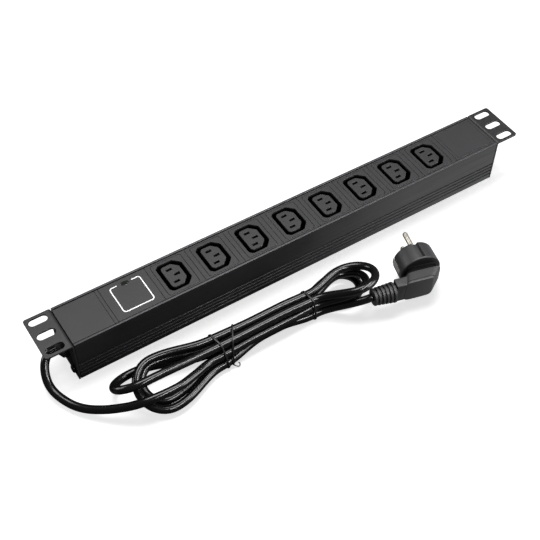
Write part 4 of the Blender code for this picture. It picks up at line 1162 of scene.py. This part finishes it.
class STRIP_OT_screws(bpy.types.Operator):
    """Make the pan-head screws of the end brackets"""
    bl_idname = "strip.screws"
    bl_label = "End screws"

    HEAD_HEIGHT, HEAD_RADIUS = 2.4 * MM, 3.7 * MM
    SHANK_LENGTH, SHANK_RADIUS = 11 * MM, 1.5 * MM
    TIP_LENGTH, TIP_RADIUS = 0.6 * MM, 1.2 * MM
    RECESS_REACH, RECESS_HALF, RECESS_FLOOR = 2.1 * MM, 0.45 * MM, 1.2 * MM
    SKEW = 0.35
    STEEL = (0.045, 0.045, 0.048)

    def execute(self, context):
        places, turns, nodes = [], [], []
        seat = bracket_face(context.scene.strip_sizes)
        for side, end in ((-1, "left"), (1, "right")):
            for row, where in ((-1, "front"), (1, "back")):
                places.append((side * seat, row * SCREW_ROW, SCREW_HEIGHT))
                turns.append((self.SKEW * row, 0.0, pi if side < 0 else 0.0))
                nodes.append(f"end_screw_{end}_{where}")
        material = plated("blackened steel", self.STEEL, 0.38)
        screws = spots_of(self.screw(), places, turns, [(1, 1, 1)] * len(places), material)
        piece("end_screws", screws, material, "screw_black", *nodes)
        return {"FINISHED"}

    def screw(self):
        """One screw along X, with its head's seat at the origin and a cross recess."""
        head, radius = self.HEAD_HEIGHT, self.HEAD_RADIUS
        start = -self.SHANK_LENGTH
        angles = [pi / 2 * k / 8 for k in range(8)]
        dome = [(head * (0.45 + 0.55 * sin(a)), radius * cos(a)) for a in angles]
        profile = ([(start, 0.0), (start, self.TIP_RADIUS), (start + self.TIP_LENGTH, self.SHANK_RADIUS),
                    (0.0, self.SHANK_RADIUS), (0.0, radius * 0.97), (0.1 * MM, radius)]
                   + dome + [(head, 0.0)])
        bm = bmesh.new()
        turned(bm, profile, (0, 0, 0), (1, 0, 0), (0, 1, 0), 28)
        mesh = mesh_from(bm, "screw")
        reach, half = self.RECESS_REACH, self.RECESS_HALF
        bar = soften([(-reach, -half), (reach, -half), (reach, half), (-reach, half)], 0.2 * MM)
        for turn in (0.0, pi / 2):
            arm = [(y * cos(turn) - z * sin(turn), y * sin(turn) + z * cos(turn)) for y, z in bar]
            bm = bmesh.new()
            slab(bm, [arm], self.RECESS_FLOOR, 4 * MM, 0.05 * MM, "X", 1)
            mesh = combine(mesh, mesh_from(bm, "arm"), "DIFFERENCE")
        return mesh


class STRIP_OT_plates(bpy.types.Operator):
    """Make the label, surge and blank plates with the printed mark and the window"""
    bl_idname = "strip.plates"
    bl_label = "Face plates"

    CLEAR = 0.02 * MM
    WEB_INSET, WEB_THICKNESS, WEB_EDGE = 0.6 * MM, 0.3 * MM, 0.05 * MM
    PANEL_ENDS, PANEL_SIDES, PANEL_CORNER = 2.6 * MM, 1.9 * MM, 0.8 * MM
    PANEL_GAP, PANEL_EDGE = 0.22 * MM, 0.1 * MM
    LINE_PLACE, LINE_HALF = 3.0 * MM, 0.12 * MM
    WINDOW_X, WINDOW_Y, WINDOW_DEPTH = -154.0 * MM, 13.8 * MM, 11.5 * MM
    WINDOW_SIZE, WINDOW_HOLE = (5.6 * MM, 2.8 * MM), (6.2 * MM, 3.4 * MM)
    FLANGE_SIZE, FLANGE_RISE = (7.4 * MM, 3.7 * MM), 0.3 * MM
    POSTS, POST_Y = (-165.5 * MM, -142.5 * MM), -11 * MM
    POST_RADIUS, POST_LENGTH = 3 * MM, 10 * MM
    MARK_BOX, MARK_CORNER = (-167.9 * MM, -140.4 * MM, -13.5 * MM, 14.2 * MM), 2.4 * MM
    MARK_OPEN, MARK_HALF = (-161.1 * MM, -147.6 * MM), 0.5 * MM
    MARK_SINK, MARK_RISE = 0.04 * MM, 0.05 * MM

    def execute(self, context):
        s, rgb = context.scene.strip_sizes, context.scene.strip_finish
        self.material = moulded("face plastic", rgb.face, FACE_GRAIN, FACE_GRAIN_DEPTH)
        self.low, self.face, self.half = plate_room(s)
        end = s.body_length / 2
        surge = s.outlet_start - s.surge_width
        last = s.outlet_start + s.outlet_pitch * s.outlet_count
        self.label_cover(-end, surge)
        self.surge_cover(surge + GAP, s.outlet_start)
        self.blank_cover(last + GAP, end)
        self.window()
        self.mark(rgb.mark)
        return {"FINISHED"}

    def rim(self, x0, x1):
        return rounded_box(x0, x1, -self.half, self.half, PLATE_CORNER, 2)

    def web(self, bm, outline):
        """A thin sheet under a plate, which closes its fine gaps from below."""
        slab(bm, [outline], self.low - self.WEB_THICKNESS, self.low - self.CLEAR, self.WEB_EDGE)

    def label_cover(self, x0, x1):
        """A plate with a fine line where its label ends, on a thin web."""
        line, inset = x1 - self.LINE_PLACE, self.WEB_INSET
        bm = bmesh.new()
        for start, end in ((x0, line - self.LINE_HALF), (line + self.LINE_HALF, x1)):
            slab(bm, [self.rim(start, end)], self.low, self.face, PLATE_EDGE)
        web = rounded_box(x0 + inset, x1 - inset, -self.half + inset, self.half - inset, PLATE_CORNER, 2)
        self.web(bm, web)
        piece("label_cover", mesh_from(bm, "label_cover"), self.material, "face_plastic", "label_plate")

    def surge_cover(self, x0, x1):
        """A plate with a hole for the window and two posts for the board below."""
        opening = hole(stadium(self.WINDOW_X, self.WINDOW_Y, *self.WINDOW_HOLE, 8))
        bm = bmesh.new()
        slab(bm, [self.rim(x0, x1), opening], self.low, self.face, PLATE_EDGE)
        for x in self.POSTS:
            post = circle(x, self.POST_Y, self.POST_RADIUS, 24)
            slab(bm, [post], self.low - self.POST_LENGTH, self.low - self.CLEAR, 0.2 * MM)
        piece("surge_cover", mesh_from(bm, "surge_cover"), self.material, "face_plastic", "surge_plate")

    def blank_cover(self, x0, x1):
        """A rim and, inside a fine gap, a flush panel on a thin web."""
        rim, ends, sides = self.rim(x0, x1), self.PANEL_ENDS, self.PANEL_SIDES
        inner = rounded_box(x0 + ends, x1 - ends, -self.half + sides, self.half - sides,
                            self.PANEL_CORNER, 4)
        bm = bmesh.new()
        slab(bm, [rim, hole(inner)], self.low, self.face, PLATE_EDGE)
        panel = left_inset(inner, self.PANEL_GAP)
        slab(bm, [panel], self.low + 0.1 * MM, self.face - self.CLEAR, self.PANEL_EDGE)
        self.web(bm, left_inset(rim, self.WEB_INSET))
        piece("blank_cover", mesh_from(bm, "blank_cover"), self.material, "face_plastic", "blank_plate")

    def window(self):
        """The indicator's window in its hole, with a flange on the plate."""
        bm = bmesh.new()
        pane = stadium(self.WINDOW_X, self.WINDOW_Y, *self.WINDOW_SIZE, 8)
        slab(bm, [pane], self.face - self.WINDOW_DEPTH, self.face - self.CLEAR, 0.1 * MM)
        flange = stadium(self.WINDOW_X, self.WINDOW_Y, *self.FLANGE_SIZE, 8)
        slab(bm, [flange], self.face + self.CLEAR, self.face + self.FLANGE_RISE, 0.2 * MM)
        material = smoked("smoked window")
        piece("indicator_window", mesh_from(bm, "window"), material, "lens", "indicator_lens")

    def mark(self, rgb):
        """A printed rounded square, open at the top where the window is."""
        top = self.MARK_BOX[3]
        corners = rounded_box(*self.MARK_BOX, self.MARK_CORNER, 6)
        half = len(corners) // 2
        path = [(self.MARK_OPEN[0], top)] + corners[half:] + corners[:half] + [(self.MARK_OPEN[1], top)]
        left, right = [], []
        for i, p in enumerate(path):
            a, c = Vector(path[max(i - 1, 0)]), Vector(path[min(i + 1, len(path) - 1)])
            along = (c - a).normalized()
            normal = Vector((-along.y, along.x)) * self.MARK_HALF
            left.append(tuple(Vector(p) + normal))
            right.append(tuple(Vector(p) - normal))
        bm = bmesh.new()
        outline = right + list(reversed(left))
        slab(bm, [outline], self.face - self.MARK_SINK, self.face + self.MARK_RISE, 0.02 * MM, "Z", 1)
        piece("surge_mark", mesh_from(bm, "mark"), printed("white print", rgb), "face_plastic")


class STRIP_OT_outlets(bpy.types.Operator):
    """Make the row of outlets: plates, inserts and cores"""
    bl_idname = "strip.outlets"
    bl_label = "Outlets"

    INSERT_CORNER = 2.0 * MM

    # The two large chamfers, the two small ones and the softening of their corners
    WELL_CORNERS = (6.4 * MM, 3.0 * MM, 3.0 * MM)
    CORE_CORNERS = (5.4 * MM, 1.8 * MM, 2.2 * MM)

    CORE_SET_BACK, FLOOR_THICKNESS = 0.2 * MM, 2.6 * MM
    SLOTS = ((-1.8, 7.0), (-1.8, -7.0), (2.2, 0.0))
    SLOT_HALF_RUN, SLOT_HALF_WIDTH, SLOT_CORNER = 2.7, 1.25, 0.25 * MM
    # Painted shade in the wells: near black and dull from 0.8 mm to 2.4 mm below the face and deeper
    DEEP_COLOUR, DEEP_GLOSS = (0.0008, 0.0008, 0.0008), 0.05
    DEEP_START, DEEP_END = 0.8 * MM, 2.4 * MM

    def execute(self, context):
        s, rgb = context.scene.strip_sizes, context.scene.strip_finish.face
        low, face, half = plate_room(s)
        floor = face - s.well_depth
        x, y, pitch = s.insert_width / 2, s.insert_length / 2, s.outlet_pitch / 2
        plastic = moulded("outlet plate plastic", rgb, FACE_GRAIN, FACE_GRAIN_DEPTH)
        # Painted shade of the wells, laid on the inserts and the cores
        deep = (self.DEEP_COLOUR, self.DEEP_GLOSS, (0, 0, -1), self.DEEP_START - face, self.DEEP_END - face)
        insert = moulded("outlet insert plastic", rgb, FACE_GRAIN, FACE_GRAIN_DEPTH, shades=(deep,))

        bm = bmesh.new()
        rim = rounded_box(-pitch + GAP, pitch, -half, half, PLATE_CORNER, 2)
        opening = rounded_box(-x - GAP, x + GAP, -y - GAP, y + GAP, self.INSERT_CORNER + GAP)
        slab(bm, [rim, hole(opening)], low, face, PLATE_EDGE)
        self.put(s, bm, "outlet_plates", plastic, "face_plastic", "outlet_plate")

        bm = bmesh.new()
        outline = rounded_box(-x, x, -y, y, self.INSERT_CORNER)
        well = socket_outline(s.well_width, s.well_length, *self.WELL_CORNERS)
        slab(bm, [outline, hole(well)], floor + GAP, face, 0.2 * MM)
        self.put(s, bm, "outlet_inserts", insert, "well_plastic", "outlet_frame")

        bm = bmesh.new()
        core = socket_outline(s.core_width, s.core_length, *self.CORE_CORNERS)
        slots = [hole(self.slot(dx, dy)) for dx, dy in self.SLOTS]
        slab(bm, [core] + slots, floor - 0.02 * MM, face - self.CORE_SET_BACK, 0.22 * MM)
        slab(bm, [outline] + slots, floor - self.FLOOR_THICKNESS, floor, 0.1 * MM)
        self.put(s, bm, "outlet_cores", insert, "face_plastic", "outlet_core")
        return {"FINISHED"}

    def slot(self, dx, dy):
        """A contact's slot, with its middle from the outlet's middle in millimetres."""
        run, width = self.SLOT_HALF_RUN, self.SLOT_HALF_WIDTH
        return rounded_box((dx - run) * MM, (dx + run) * MM, (dy - width) * MM, (dy + width) * MM,
                           self.SLOT_CORNER, 2)

    def put(self, s, bm, name, material, slot, node):
        """A row of one outlet's mesh, in the place of the like nodes."""
        start = s.outlet_start + s.outlet_pitch / 2
        row = row_of(mesh_from(bm, "outlet"), s.outlet_count, start, s.outlet_pitch, material)
        piece(name, row, material, slot, *[f"{node}_{k}" for k in range(1, s.outlet_count + 1)])


class STRIP_OT_gland(bpy.types.Operator):
    """Make the strain relief where the lead enters and its nut inside"""
    bl_idname = "strip.gland"
    bl_label = "Gland"

    SHANK_INSIDE = 12 * MM
    FLANGE, HEAD, NOSE = 1.6 * MM, 4.4 * MM, 2.4 * MM
    NOSE_RADIUS, NOSE_SOFT = 5.5 * MM, 0.4 * MM
    EDGE = 0.3 * MM
    NUT_RADIUS, NUT_THICKNESS, NUT_SOFT = 10.5 * MM, 5 * MM, 0.8 * MM
    GRAIN, GRAIN_DEPTH = 0.4 * MM, 0.03 * MM

    def execute(self, context):
        s, lead = context.scene.strip_sizes, context.scene.strip_lead
        y, z = lead.gland_y, lead.gland_z
        material = moulded("gland plastic", context.scene.strip_finish.plug, self.GRAIN, self.GRAIN_DEPTH)
        bm = bmesh.new()
        turned(bm, self.profile(s, lead), (0, y, z), (-1, 0, 0), (0, 1, 0), 48)
        piece("gland", mesh_from(bm, "gland"), material, "plug_black", "cord_gland")
        bm = bmesh.new()
        hexagon = soften(circle(y, z, self.NUT_RADIUS, 6), self.NUT_SOFT, 3)
        thread = hole(circle(y, z, GLAND_HOLE, 40))
        end = -s.body_length / 2
        slab(bm, [hexagon, thread], end, end + self.NUT_THICKNESS, self.EDGE, "X")
        piece("gland_lock_nut", mesh_from(bm, "nut"), material, "plug_black", "gland_nut")
        return {"FINISHED"}

    def profile(self, s, lead):
        """The gland's half section, from its inner end over the flange and the head to the nose."""
        edge, soft = self.EDGE, self.NOSE_SOFT
        bore, shank, big = lead.diameter / 2 + GAP, GLAND_HOLE - GAP, lead.gland_radius
        inner = s.body_length / 2 - self.SHANK_INSIDE
        seat = bracket_face(s)
        flange, head = seat + self.FLANGE, seat + self.HEAD
        nose = head + self.NOSE
        return [(inner, bore), (inner, shank - edge), (inner + edge, shank), (seat, shank),
                (seat, big - edge), (seat + edge, big), (flange, big), (flange + 0.2 * MM, big - 0.6 * MM),
                (head - 0.6 * MM, big - 0.8 * MM), (head, big - 1.4 * MM),
                (nose - soft, self.NOSE_RADIUS), (nose, self.NOSE_RADIUS - soft),
                (nose, bore + 0.1 * MM), (nose - soft, bore)]


class STRIP_OT_ties(bpy.types.Operator):
    """Make the three straps round the hank"""
    bl_idname = "strip.ties"
    bl_label = "Ties"

    # Each strap's piece, its node, its place along the hank and its slant
    PLACES = (
        ("left_tie", "tie_left", -112.5, -0.15),
        ("middle_tie", "tie_middle", -98.0, 0.55),
        ("right_tie", "tie_right", -23.5, -0.11),
    )
    ROUND = 72
    CLEAR = 0.35
    INNER_SOFT, OUTER_SOFT, SIDE_SOFT = 0.2 * MM, 0.25 * MM, 0.15 * MM
    TAIL_OF = "middle_tie"
    TAIL_ANGLE, TAIL_CLEAR, TAIL_RADIUS = radians(200), 0.6, 0.5 * MM
    TAIL_WAY = (
        (0.0, 0.0, 0.0),
        (1.2, -0.9, -1.2),
        (2.9, -2.0, -2.0),
        (4.7, -1.9, -2.2),
        (5.3, -0.9, -1.2),
        (4.6, -0.4, 0.2),
    )
    GRAIN, GRAIN_DEPTH = 0.5 * MM, 0.02 * MM

    def execute(self, context):
        s, rgb = context.scene.strip_lead, context.scene.strip_finish.cord
        material = moulded("tie plastic", rgb, self.GRAIN, self.GRAIN_DEPTH, 0.3, 0.45)
        for name, node, x, slant in self.PLACES:
            bm = bmesh.new()
            self.band(bm, s, x, slant)
            if name == self.TAIL_OF:
                self.tail(bm, s, x, slant)
            piece(name, mesh_from(bm, name), material, "plug_black", node)
        return {"FINISHED"}

    def section(self, s):
        """The strap's section: across its width, and out from the lead."""
        half, thick = s.tie_width / 2, s.tie_thickness
        inner, outer, side = half - self.INNER_SOFT, half - self.OUTER_SOFT, self.SIDE_SOFT
        return [(-inner, 0.0), (-half, side), (-half, thick - side), (-outer, thick),
                (outer, thick), (half, thick - side), (half, side), (inner, 0.0)]

    def band(self, bm, s, x, slant):
        """The closed strap round the runs that it cuts."""
        middle, cuts = strap_cuts(x, slant)
        section, radius = self.section(s), s.diameter / 2 / MM
        rings = []
        for i in range(self.ROUND):
            c, k = cos(2 * pi * i / self.ROUND), sin(2 * pi * i / self.ROUND)
            ring = []
            for across, out in section:
                y, z = strap_point(cuts, c, k, radius, self.CLEAR + out / MM)
                ring.append(bm.verts.new(((x + slant * (y - middle)) * MM + across, y * MM, z * MM)))
            rings.append(ring)
        for first, second in zip(rings, rings[1:] + rings[:1]):
            bridge(bm, first, second)

    def tail(self, bm, s, x, slant):
        """The strap's loose end, which leaves the strap low in front and curls back."""
        middle, cuts = strap_cuts(x, slant)
        c, k = cos(self.TAIL_ANGLE), sin(self.TAIL_ANGLE)
        y, z = strap_point(cuts, c, k, s.diameter / 2 / MM, self.TAIL_CLEAR)
        start = Vector((x + slant * (y - middle), y, z))
        points = smooth_route([tuple(start + Vector(step)) for step in self.TAIL_WAY], 5)
        tube(bm, [p * MM for p in points], self.TAIL_RADIUS, 10)


class STRIP_OT_plug(bpy.types.Operator):
    """Make the plug: moulded body, strain relief, pins and earth clips"""
    bl_idname = "strip.plug"
    bl_label = "Plug"

    ROUND = 120

    # Rows of the body in millimetres: how far behind the pin face, and how much smaller or larger
    FRONT = ((0.0, 2.0), (0.15, 1.4), (0.6, 0.8), (1.3, 0.45), (2.2, 0.35), (15.2, 0.1))
    GUIDE_END = ((15.4, 0.1), (17.5, 0.0))
    FLANGE = ((17.7, 0.0), (18.7, 0.0), (19.2, 0.25), (19.5, 0.9))
    NECK = ((19.6, 0.6), (20.2, 0.0), (24.7, 0.0))
    GRIP = ((25.0, 1.4), (25.3, 0.5), (25.8, 0.0), (33.9, 0.0), (34.1, 0.4), (34.6, 0.4),
            (34.8, 0.0), (35.8, 0.0), (36.5, 0.35), (36.9, 1.1))

    # Half length, middle along the cable, half height and squareness of the neck and the grip
    NECK_SHAPE = (15.0, -0.3, 9.6, 3.2)
    GRIP_SHAPE, GRIP_CHANGE = (16.4, -1.2, 11.6, 6.0), (-3.0, -7.4, 0.2)
    GRIP_START, GRIP_LENGTH = 25.6, 10.4

    # The collar round the strain relief's root, along the pins and up, and its rounded far end
    COLLAR = ((27.2, -10.2), (36.6, -10.2), (36.6, 10.2), (27.2, 10.2))
    COLLAR_LEVELS = ((-12.0, 0.0), (-28.8, 0.0), (-29.3, 0.25), (-COLLAR_FAR, 0.7))

    POCKET_DEPTH, POCKET_HALF = 2.2, 3.8
    PIN_DEPTH, HOLE_DEPTH, HOLE_LEAD = 8 * MM, 8.3 * MM, 1 * MM
    RELIEF_ROOT, RELIEF_TIP, RIB_HEIGHT = 9.2 * MM, 7.5 * MM, 1.5 * MM
    RIB_SHARE, RIB_OFFSET, RIB_SOFT, RIB_SINK = 0.62, 0.3, 0.25 * MM, 0.3 * MM
    CLIP_ROWS = ((0.0, 0.1), (1.0, 0.0), (4.0, 0.0), (9.0, 0.35), (13.0, 0.1), (15.0, 0.0))
    CLIP_SEAT, CLIP_THICKNESS, CLIP_INNER, CLIP_OUTER = 0.3, 0.9, 3.4, 3.2
    BODY_CRISP = 32.0

    # Painted shade: from 19.0 mm behind the pin face the neck turns near black and dull, and from 25.0 mm
    # the grip returns to the plug's own colour and gloss
    NECK_COLOUR, NECK_GLOSS, NECK_FADE = (0.001, 0.001, 0.001), 0.1, (19.0, 19.8)
    GRIP_GLOSS, GRIP_FADE = 0.5, (25.0, 25.6)
    GRAIN, GRAIN_DEPTH = 0.45 * MM, 0.06 * MM
    # The earth clips are plated like the pins but coloured darker: painted shade for the dark surroundings
    # that they reflect
    PIN_COLOUR, CLIP_COLOUR = (0.74, 0.70, 0.62), (0.34, 0.33, 0.31)
    METAL_ROUGHNESS, DRAWN, PIN_METALLIC = 0.3, (1.0, 0.15, 1.0), 0.85

    def execute(self, context):
        s, rgb = context.scene.strip_plug, context.scene.strip_finish.plug
        neck = self.zone(self.NECK_COLOUR, self.NECK_GLOSS, self.NECK_FADE)
        grip = self.zone(rgb, self.GRIP_GLOSS, self.GRIP_FADE)
        self.plastic = moulded("plug plastic", rgb, self.GRAIN, self.GRAIN_DEPTH, 0.38, 0.55, (neck, grip))
        self.body(s)
        self.relief(s)
        self.pins(s)
        self.clips(s)
        return {"FINISHED"}

    def zone(self, rgb, gloss, fade):
        """A colour and gloss that start between two distances behind the pin face: painted shade for the
        neck, the plug's own colour again for the grip.
        """
        start, end = ((behind - PLUG_FACE.dot(PLUG_PINS)) * MM for behind in fade)
        return rgb, gloss, -PLUG_PINS, start, end

    def ring(self, half_p, middle, half_w, power, behind, guide=0.0, clip=0.0, guide_half=0.0):
        """One section of the body, squarer as the power grows, with guide grooves and clip pockets."""
        points = []
        for i in range(self.ROUND):
            angle = 2 * pi * i / self.ROUND
            c, k = cos(angle), sin(angle)
            p = half_p * abs(c) ** (2 / power) * (1 if c >= 0 else -1)
            w = half_w * abs(k) ** (2 / power) * (1 if k >= 0 else -1)
            if abs(p) < guide_half:
                w = (abs(w) - guide) * (1 if w > 0 else -1)
            if clip and abs(w) < self.POCKET_HALF:
                p = (abs(p) - clip) * (1 if p > 0 else -1)
            points.append(plug_place(middle + p, w, behind) * MM)
        return points

    def round_rows(self, radius, rows, *cuts):
        """Round sections of the body, one for each row."""
        return [self.ring(radius - shrink, 0.0, radius - shrink, 2.0, behind, *cuts)
                for behind, shrink in rows]

    def body(self, s):
        radius, guide = s.radius / MM, s.guide_depth / MM
        guide_half = s.guide_width / 2 / MM
        rings = self.round_rows(radius, self.FRONT, guide, self.POCKET_DEPTH, guide_half)
        rings += self.round_rows(radius, self.GUIDE_END, guide, 0.0, guide_half)
        rings += self.round_rows(radius, self.FLANGE)
        half_p, middle, half_w, power = self.NECK_SHAPE
        for behind, grow in self.NECK:
            rings.append(self.ring(half_p + grow, middle, half_w + grow, power, behind))
        *shape, power = self.GRIP_SHAPE
        for behind, inset in self.GRIP:
            share = (behind - self.GRIP_START) / self.GRIP_LENGTH
            half_p, middle, half_w = (a + change * share for a, change in zip(shape, self.GRIP_CHANGE))
            rings.append(self.ring(half_p - inset, middle, half_w - inset, power, behind))
        bm = bmesh.new()
        loft(bm, rings)
        mesh = combine(mesh_from(bm, "plug"), self.collar(), "UNION")
        bore = s.pin_radius + GAP
        profile = [(-self.HOLE_LEAD, 0.0), (-self.HOLE_LEAD, bore),
                   (self.HOLE_DEPTH, bore), (self.HOLE_DEPTH, 0.0)]
        for side in (-1, 1):
            bm = bmesh.new()
            turned(bm, profile, self.pin_place(s, side), -PLUG_PINS, PLUG_CABLE, 24)
            mesh = combine(mesh, mesh_from(bm, "hole"), "DIFFERENCE")
        mesh.shade_smooth()
        mesh.set_sharp_from_angle(angle=radians(self.BODY_CRISP))
        piece("plug_shell", mesh, self.plastic, "plug_black", "plug_body")

    def collar(self):
        """The block that the strain relief grows out of."""
        outline = soften(self.COLLAR, 1.2, 4)
        bm = bmesh.new()
        loft(bm, [[plug_place(p, w, behind) * MM for behind, w in left_inset(outline, offset)]
                  for p, offset in self.COLLAR_LEVELS])
        return mesh_from(bm, "collar")

    def pin_place(self, s, side):
        return plug_place(0.0, side * s.pin_spread / MM, 0.0) * MM

    def relief(self, s):
        """A tapered core with ribs set along it."""
        origin = plug_place(-(COLLAR_FAR + RELIEF_GAP), 0.0, RELIEF_BEHIND) * MM
        run, root, tip = s.relief_length, self.RELIEF_ROOT, self.RELIEF_TIP
        inner = root - self.RIB_HEIGHT
        profile = [(0.0, 0.0), (0.0, inner), (run - 1.2 * MM, tip - self.RIB_HEIGHT), (run - 1.0 * MM, tip),
                   (run - 0.3 * MM, tip), (run, tip - 0.4 * MM), (run, 0.0)]
        bm = bmesh.new()
        turned(bm, profile, origin, -PLUG_CABLE, PLUG_UP, 44)
        core = mesh_from(bm, "relief core")
        pitch = run / s.ribs
        wide, soft, low = pitch * self.RIB_SHARE, self.RIB_SOFT, inner - self.RIB_SINK
        outline = [(0.0, low), (0.0, root - soft), (soft, root), (wide - soft, root), (wide, root - soft),
                   (wide, low)]
        bm = bmesh.new()
        turned(bm, outline, (0, 0, 0), (-1, 0, 0), (0, 0, 1), 44)
        rib = mesh_from(bm, "rib")
        places, grows = [], []
        for k in range(s.ribs):
            along = (k + self.RIB_OFFSET) * pitch
            grow = (root + (tip - root) * along / run) / root
            places.append(origin - PLUG_CABLE * along)
            grows.append((1.0, grow, grow))
        turns = [(0.0, 0.0, -PLUG_YAW)] * s.ribs
        ribs = spots_of(rib, places, turns, grows, self.plastic)
        bm = bmesh.new()
        bm.from_mesh(core)
        bm.from_mesh(ribs)
        piece("plug_strain_relief", mesh_from(bm, "relief"), self.plastic, "plug_black", "plug_relief")

    def metal(self, name, rgb, metallic):
        return plated(name, rgb, self.METAL_ROUGHNESS, (0.0, 0.0, PLUG_YAW), self.DRAWN, metallic)

    def pins(self, s):
        """Two round pins with rounded tips."""
        material = self.metal("nickel plate", self.PIN_COLOUR, self.PIN_METALLIC)
        r, end = s.pin_radius, s.pin_length
        angles = [pi / 2 * k / 8 for k in range(9)]
        round_tip = [(end - r * (1 - sin(a)), r * (0.25 + 0.75 * cos(a))) for a in angles]
        profile = [(-self.PIN_DEPTH, 0.0), (-self.PIN_DEPTH, r)] + round_tip + [(end, 0.0)]
        for side, place in ((1, "upper"), (-1, "lower")):
            bm = bmesh.new()
            turned(bm, profile, self.pin_place(s, side), PLUG_PINS, PLUG_CABLE, 32)
            piece(f"pin_{place}", mesh_from(bm, "pin"), material, "bright_metal", f"plug_pin_{place}")

    def clips(self, s):
        """The earth springs in their pockets on both sides."""
        # Darker plating than the pins: painted shade for a dark reflection
        material = self.metal("earth spring", self.CLIP_COLOUR, 1.0)
        seat = s.radius / MM - self.POCKET_DEPTH + self.CLIP_SEAT
        inner, outer = self.CLIP_INNER, self.CLIP_OUTER
        for side, place in ((-1, "near"), (1, "far")):
            rings = []
            for behind, lift in self.CLIP_ROWS:
                low, high = side * (seat + lift), side * (seat + lift + self.CLIP_THICKNESS)
                corners = ((low, -inner), (high, -outer), (high, outer), (low, inner))
                rings.append([plug_place(p, w, behind) * MM for p, w in corners])
            bm = bmesh.new()
            loft(bm, rings)
            piece(f"clip_{place}", mesh_from(bm, "clip"), material, "bright_metal", f"earth_clip_{place}")


class STRIP_OT_inside(bpy.types.Operator):
    """Give the solids inside the housing their finishes"""
    bl_idname = "strip.inside"
    bl_label = "Inside"

    BRASS, EPOXY = (0.72, 0.55, 0.25), (0.04, 0.10, 0.35)
    SLEEVES = {
        "line_lead": (0.20, 0.08, 0.03),
        "neutral_lead": (0.03, 0.12, 0.45),
        "earth_lead": (0.16, 0.34, 0.05),
    }

    def execute(self, context):
        brass = plated("contact brass", self.BRASS, 0.32, stretch=(0.05, 1.0, 1.0))
        self.paint(brass, "line_bar", "neutral_bar", "earth_bar")
        self.paint(circuit("solder mask"), "surge_board")
        epoxy = moulded("varistor epoxy", self.EPOXY, 1.0 * MM, 0.05 * MM, 0.3, 0.45)
        self.paint(epoxy, "varistor_1", "varistor_2", "varistor_3")
        for node, rgb in self.SLEEVES.items():
            self.paint(moulded(f"{node} sleeve", rgb, 0.6 * MM, 0.02 * MM, 0.3, 0.42), node)
        return {"FINISHED"}

    def paint(self, material, *nodes):
        for node in nodes:
            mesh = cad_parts[node].data
            mesh.materials.clear()
            mesh.materials.append(material)


class STRIP_OT_declare(bpy.types.Operator):
    bl_idname = "strip.declare"
    bl_label = "Declare the lead"

    def execute(self, context):
        return {"FINISHED"}


class STRIP_PT_panel(bpy.types.Panel):
    """Buttons for the pieces in the sidebar"""
    bl_label = "Rack power strip"
    bl_space_type = "VIEW_3D"
    bl_region_type = "UI"
    bl_category = "Strip"

    def draw(self, context):
        for operator in OPERATORS:
            self.layout.operator(operator.bl_idname)


GROUPS = {
    "strip_sizes": StripSizes,
    "strip_lead": LeadSizes,
    "strip_plug": PlugSizes,
    "strip_finish": FinishColours,
    "strip_stage": StageSizes,
}
OPERATORS = (
    STRIP_OT_stage,
    STRIP_OT_lead,
    STRIP_OT_housing,
    STRIP_OT_brackets,
    STRIP_OT_screws,
    STRIP_OT_plates,
    STRIP_OT_outlets,
    STRIP_OT_gland,
    STRIP_OT_ties,
    STRIP_OT_plug,
    STRIP_OT_inside,
    STRIP_OT_declare,
)
CLASSES = (*GROUPS.values(), *OPERATORS, STRIP_PT_panel)


def register():
    for item in CLASSES:
        bpy.utils.register_class(item)
    for name, group in GROUPS.items():
        setattr(bpy.types.Scene, name, PointerProperty(type=group))


def unregister():
    for name in GROUPS:
        delattr(bpy.types.Scene, name)
    for item in reversed(CLASSES):
        bpy.utils.unregister_class(item)


def main():
    register()
    bpy.ops.strip.stage()
    bpy.ops.strip.lead()
    bpy.ops.strip.housing()
    bpy.ops.strip.brackets()
    bpy.ops.strip.screws()
    bpy.ops.strip.plates()
    bpy.ops.strip.outlets()
    bpy.ops.strip.gland()
    bpy.ops.strip.ties()
    bpy.ops.strip.plug()
    bpy.ops.strip.inside()
    bpy.ops.strip.declare()


if __name__ == "__main__":
    main()
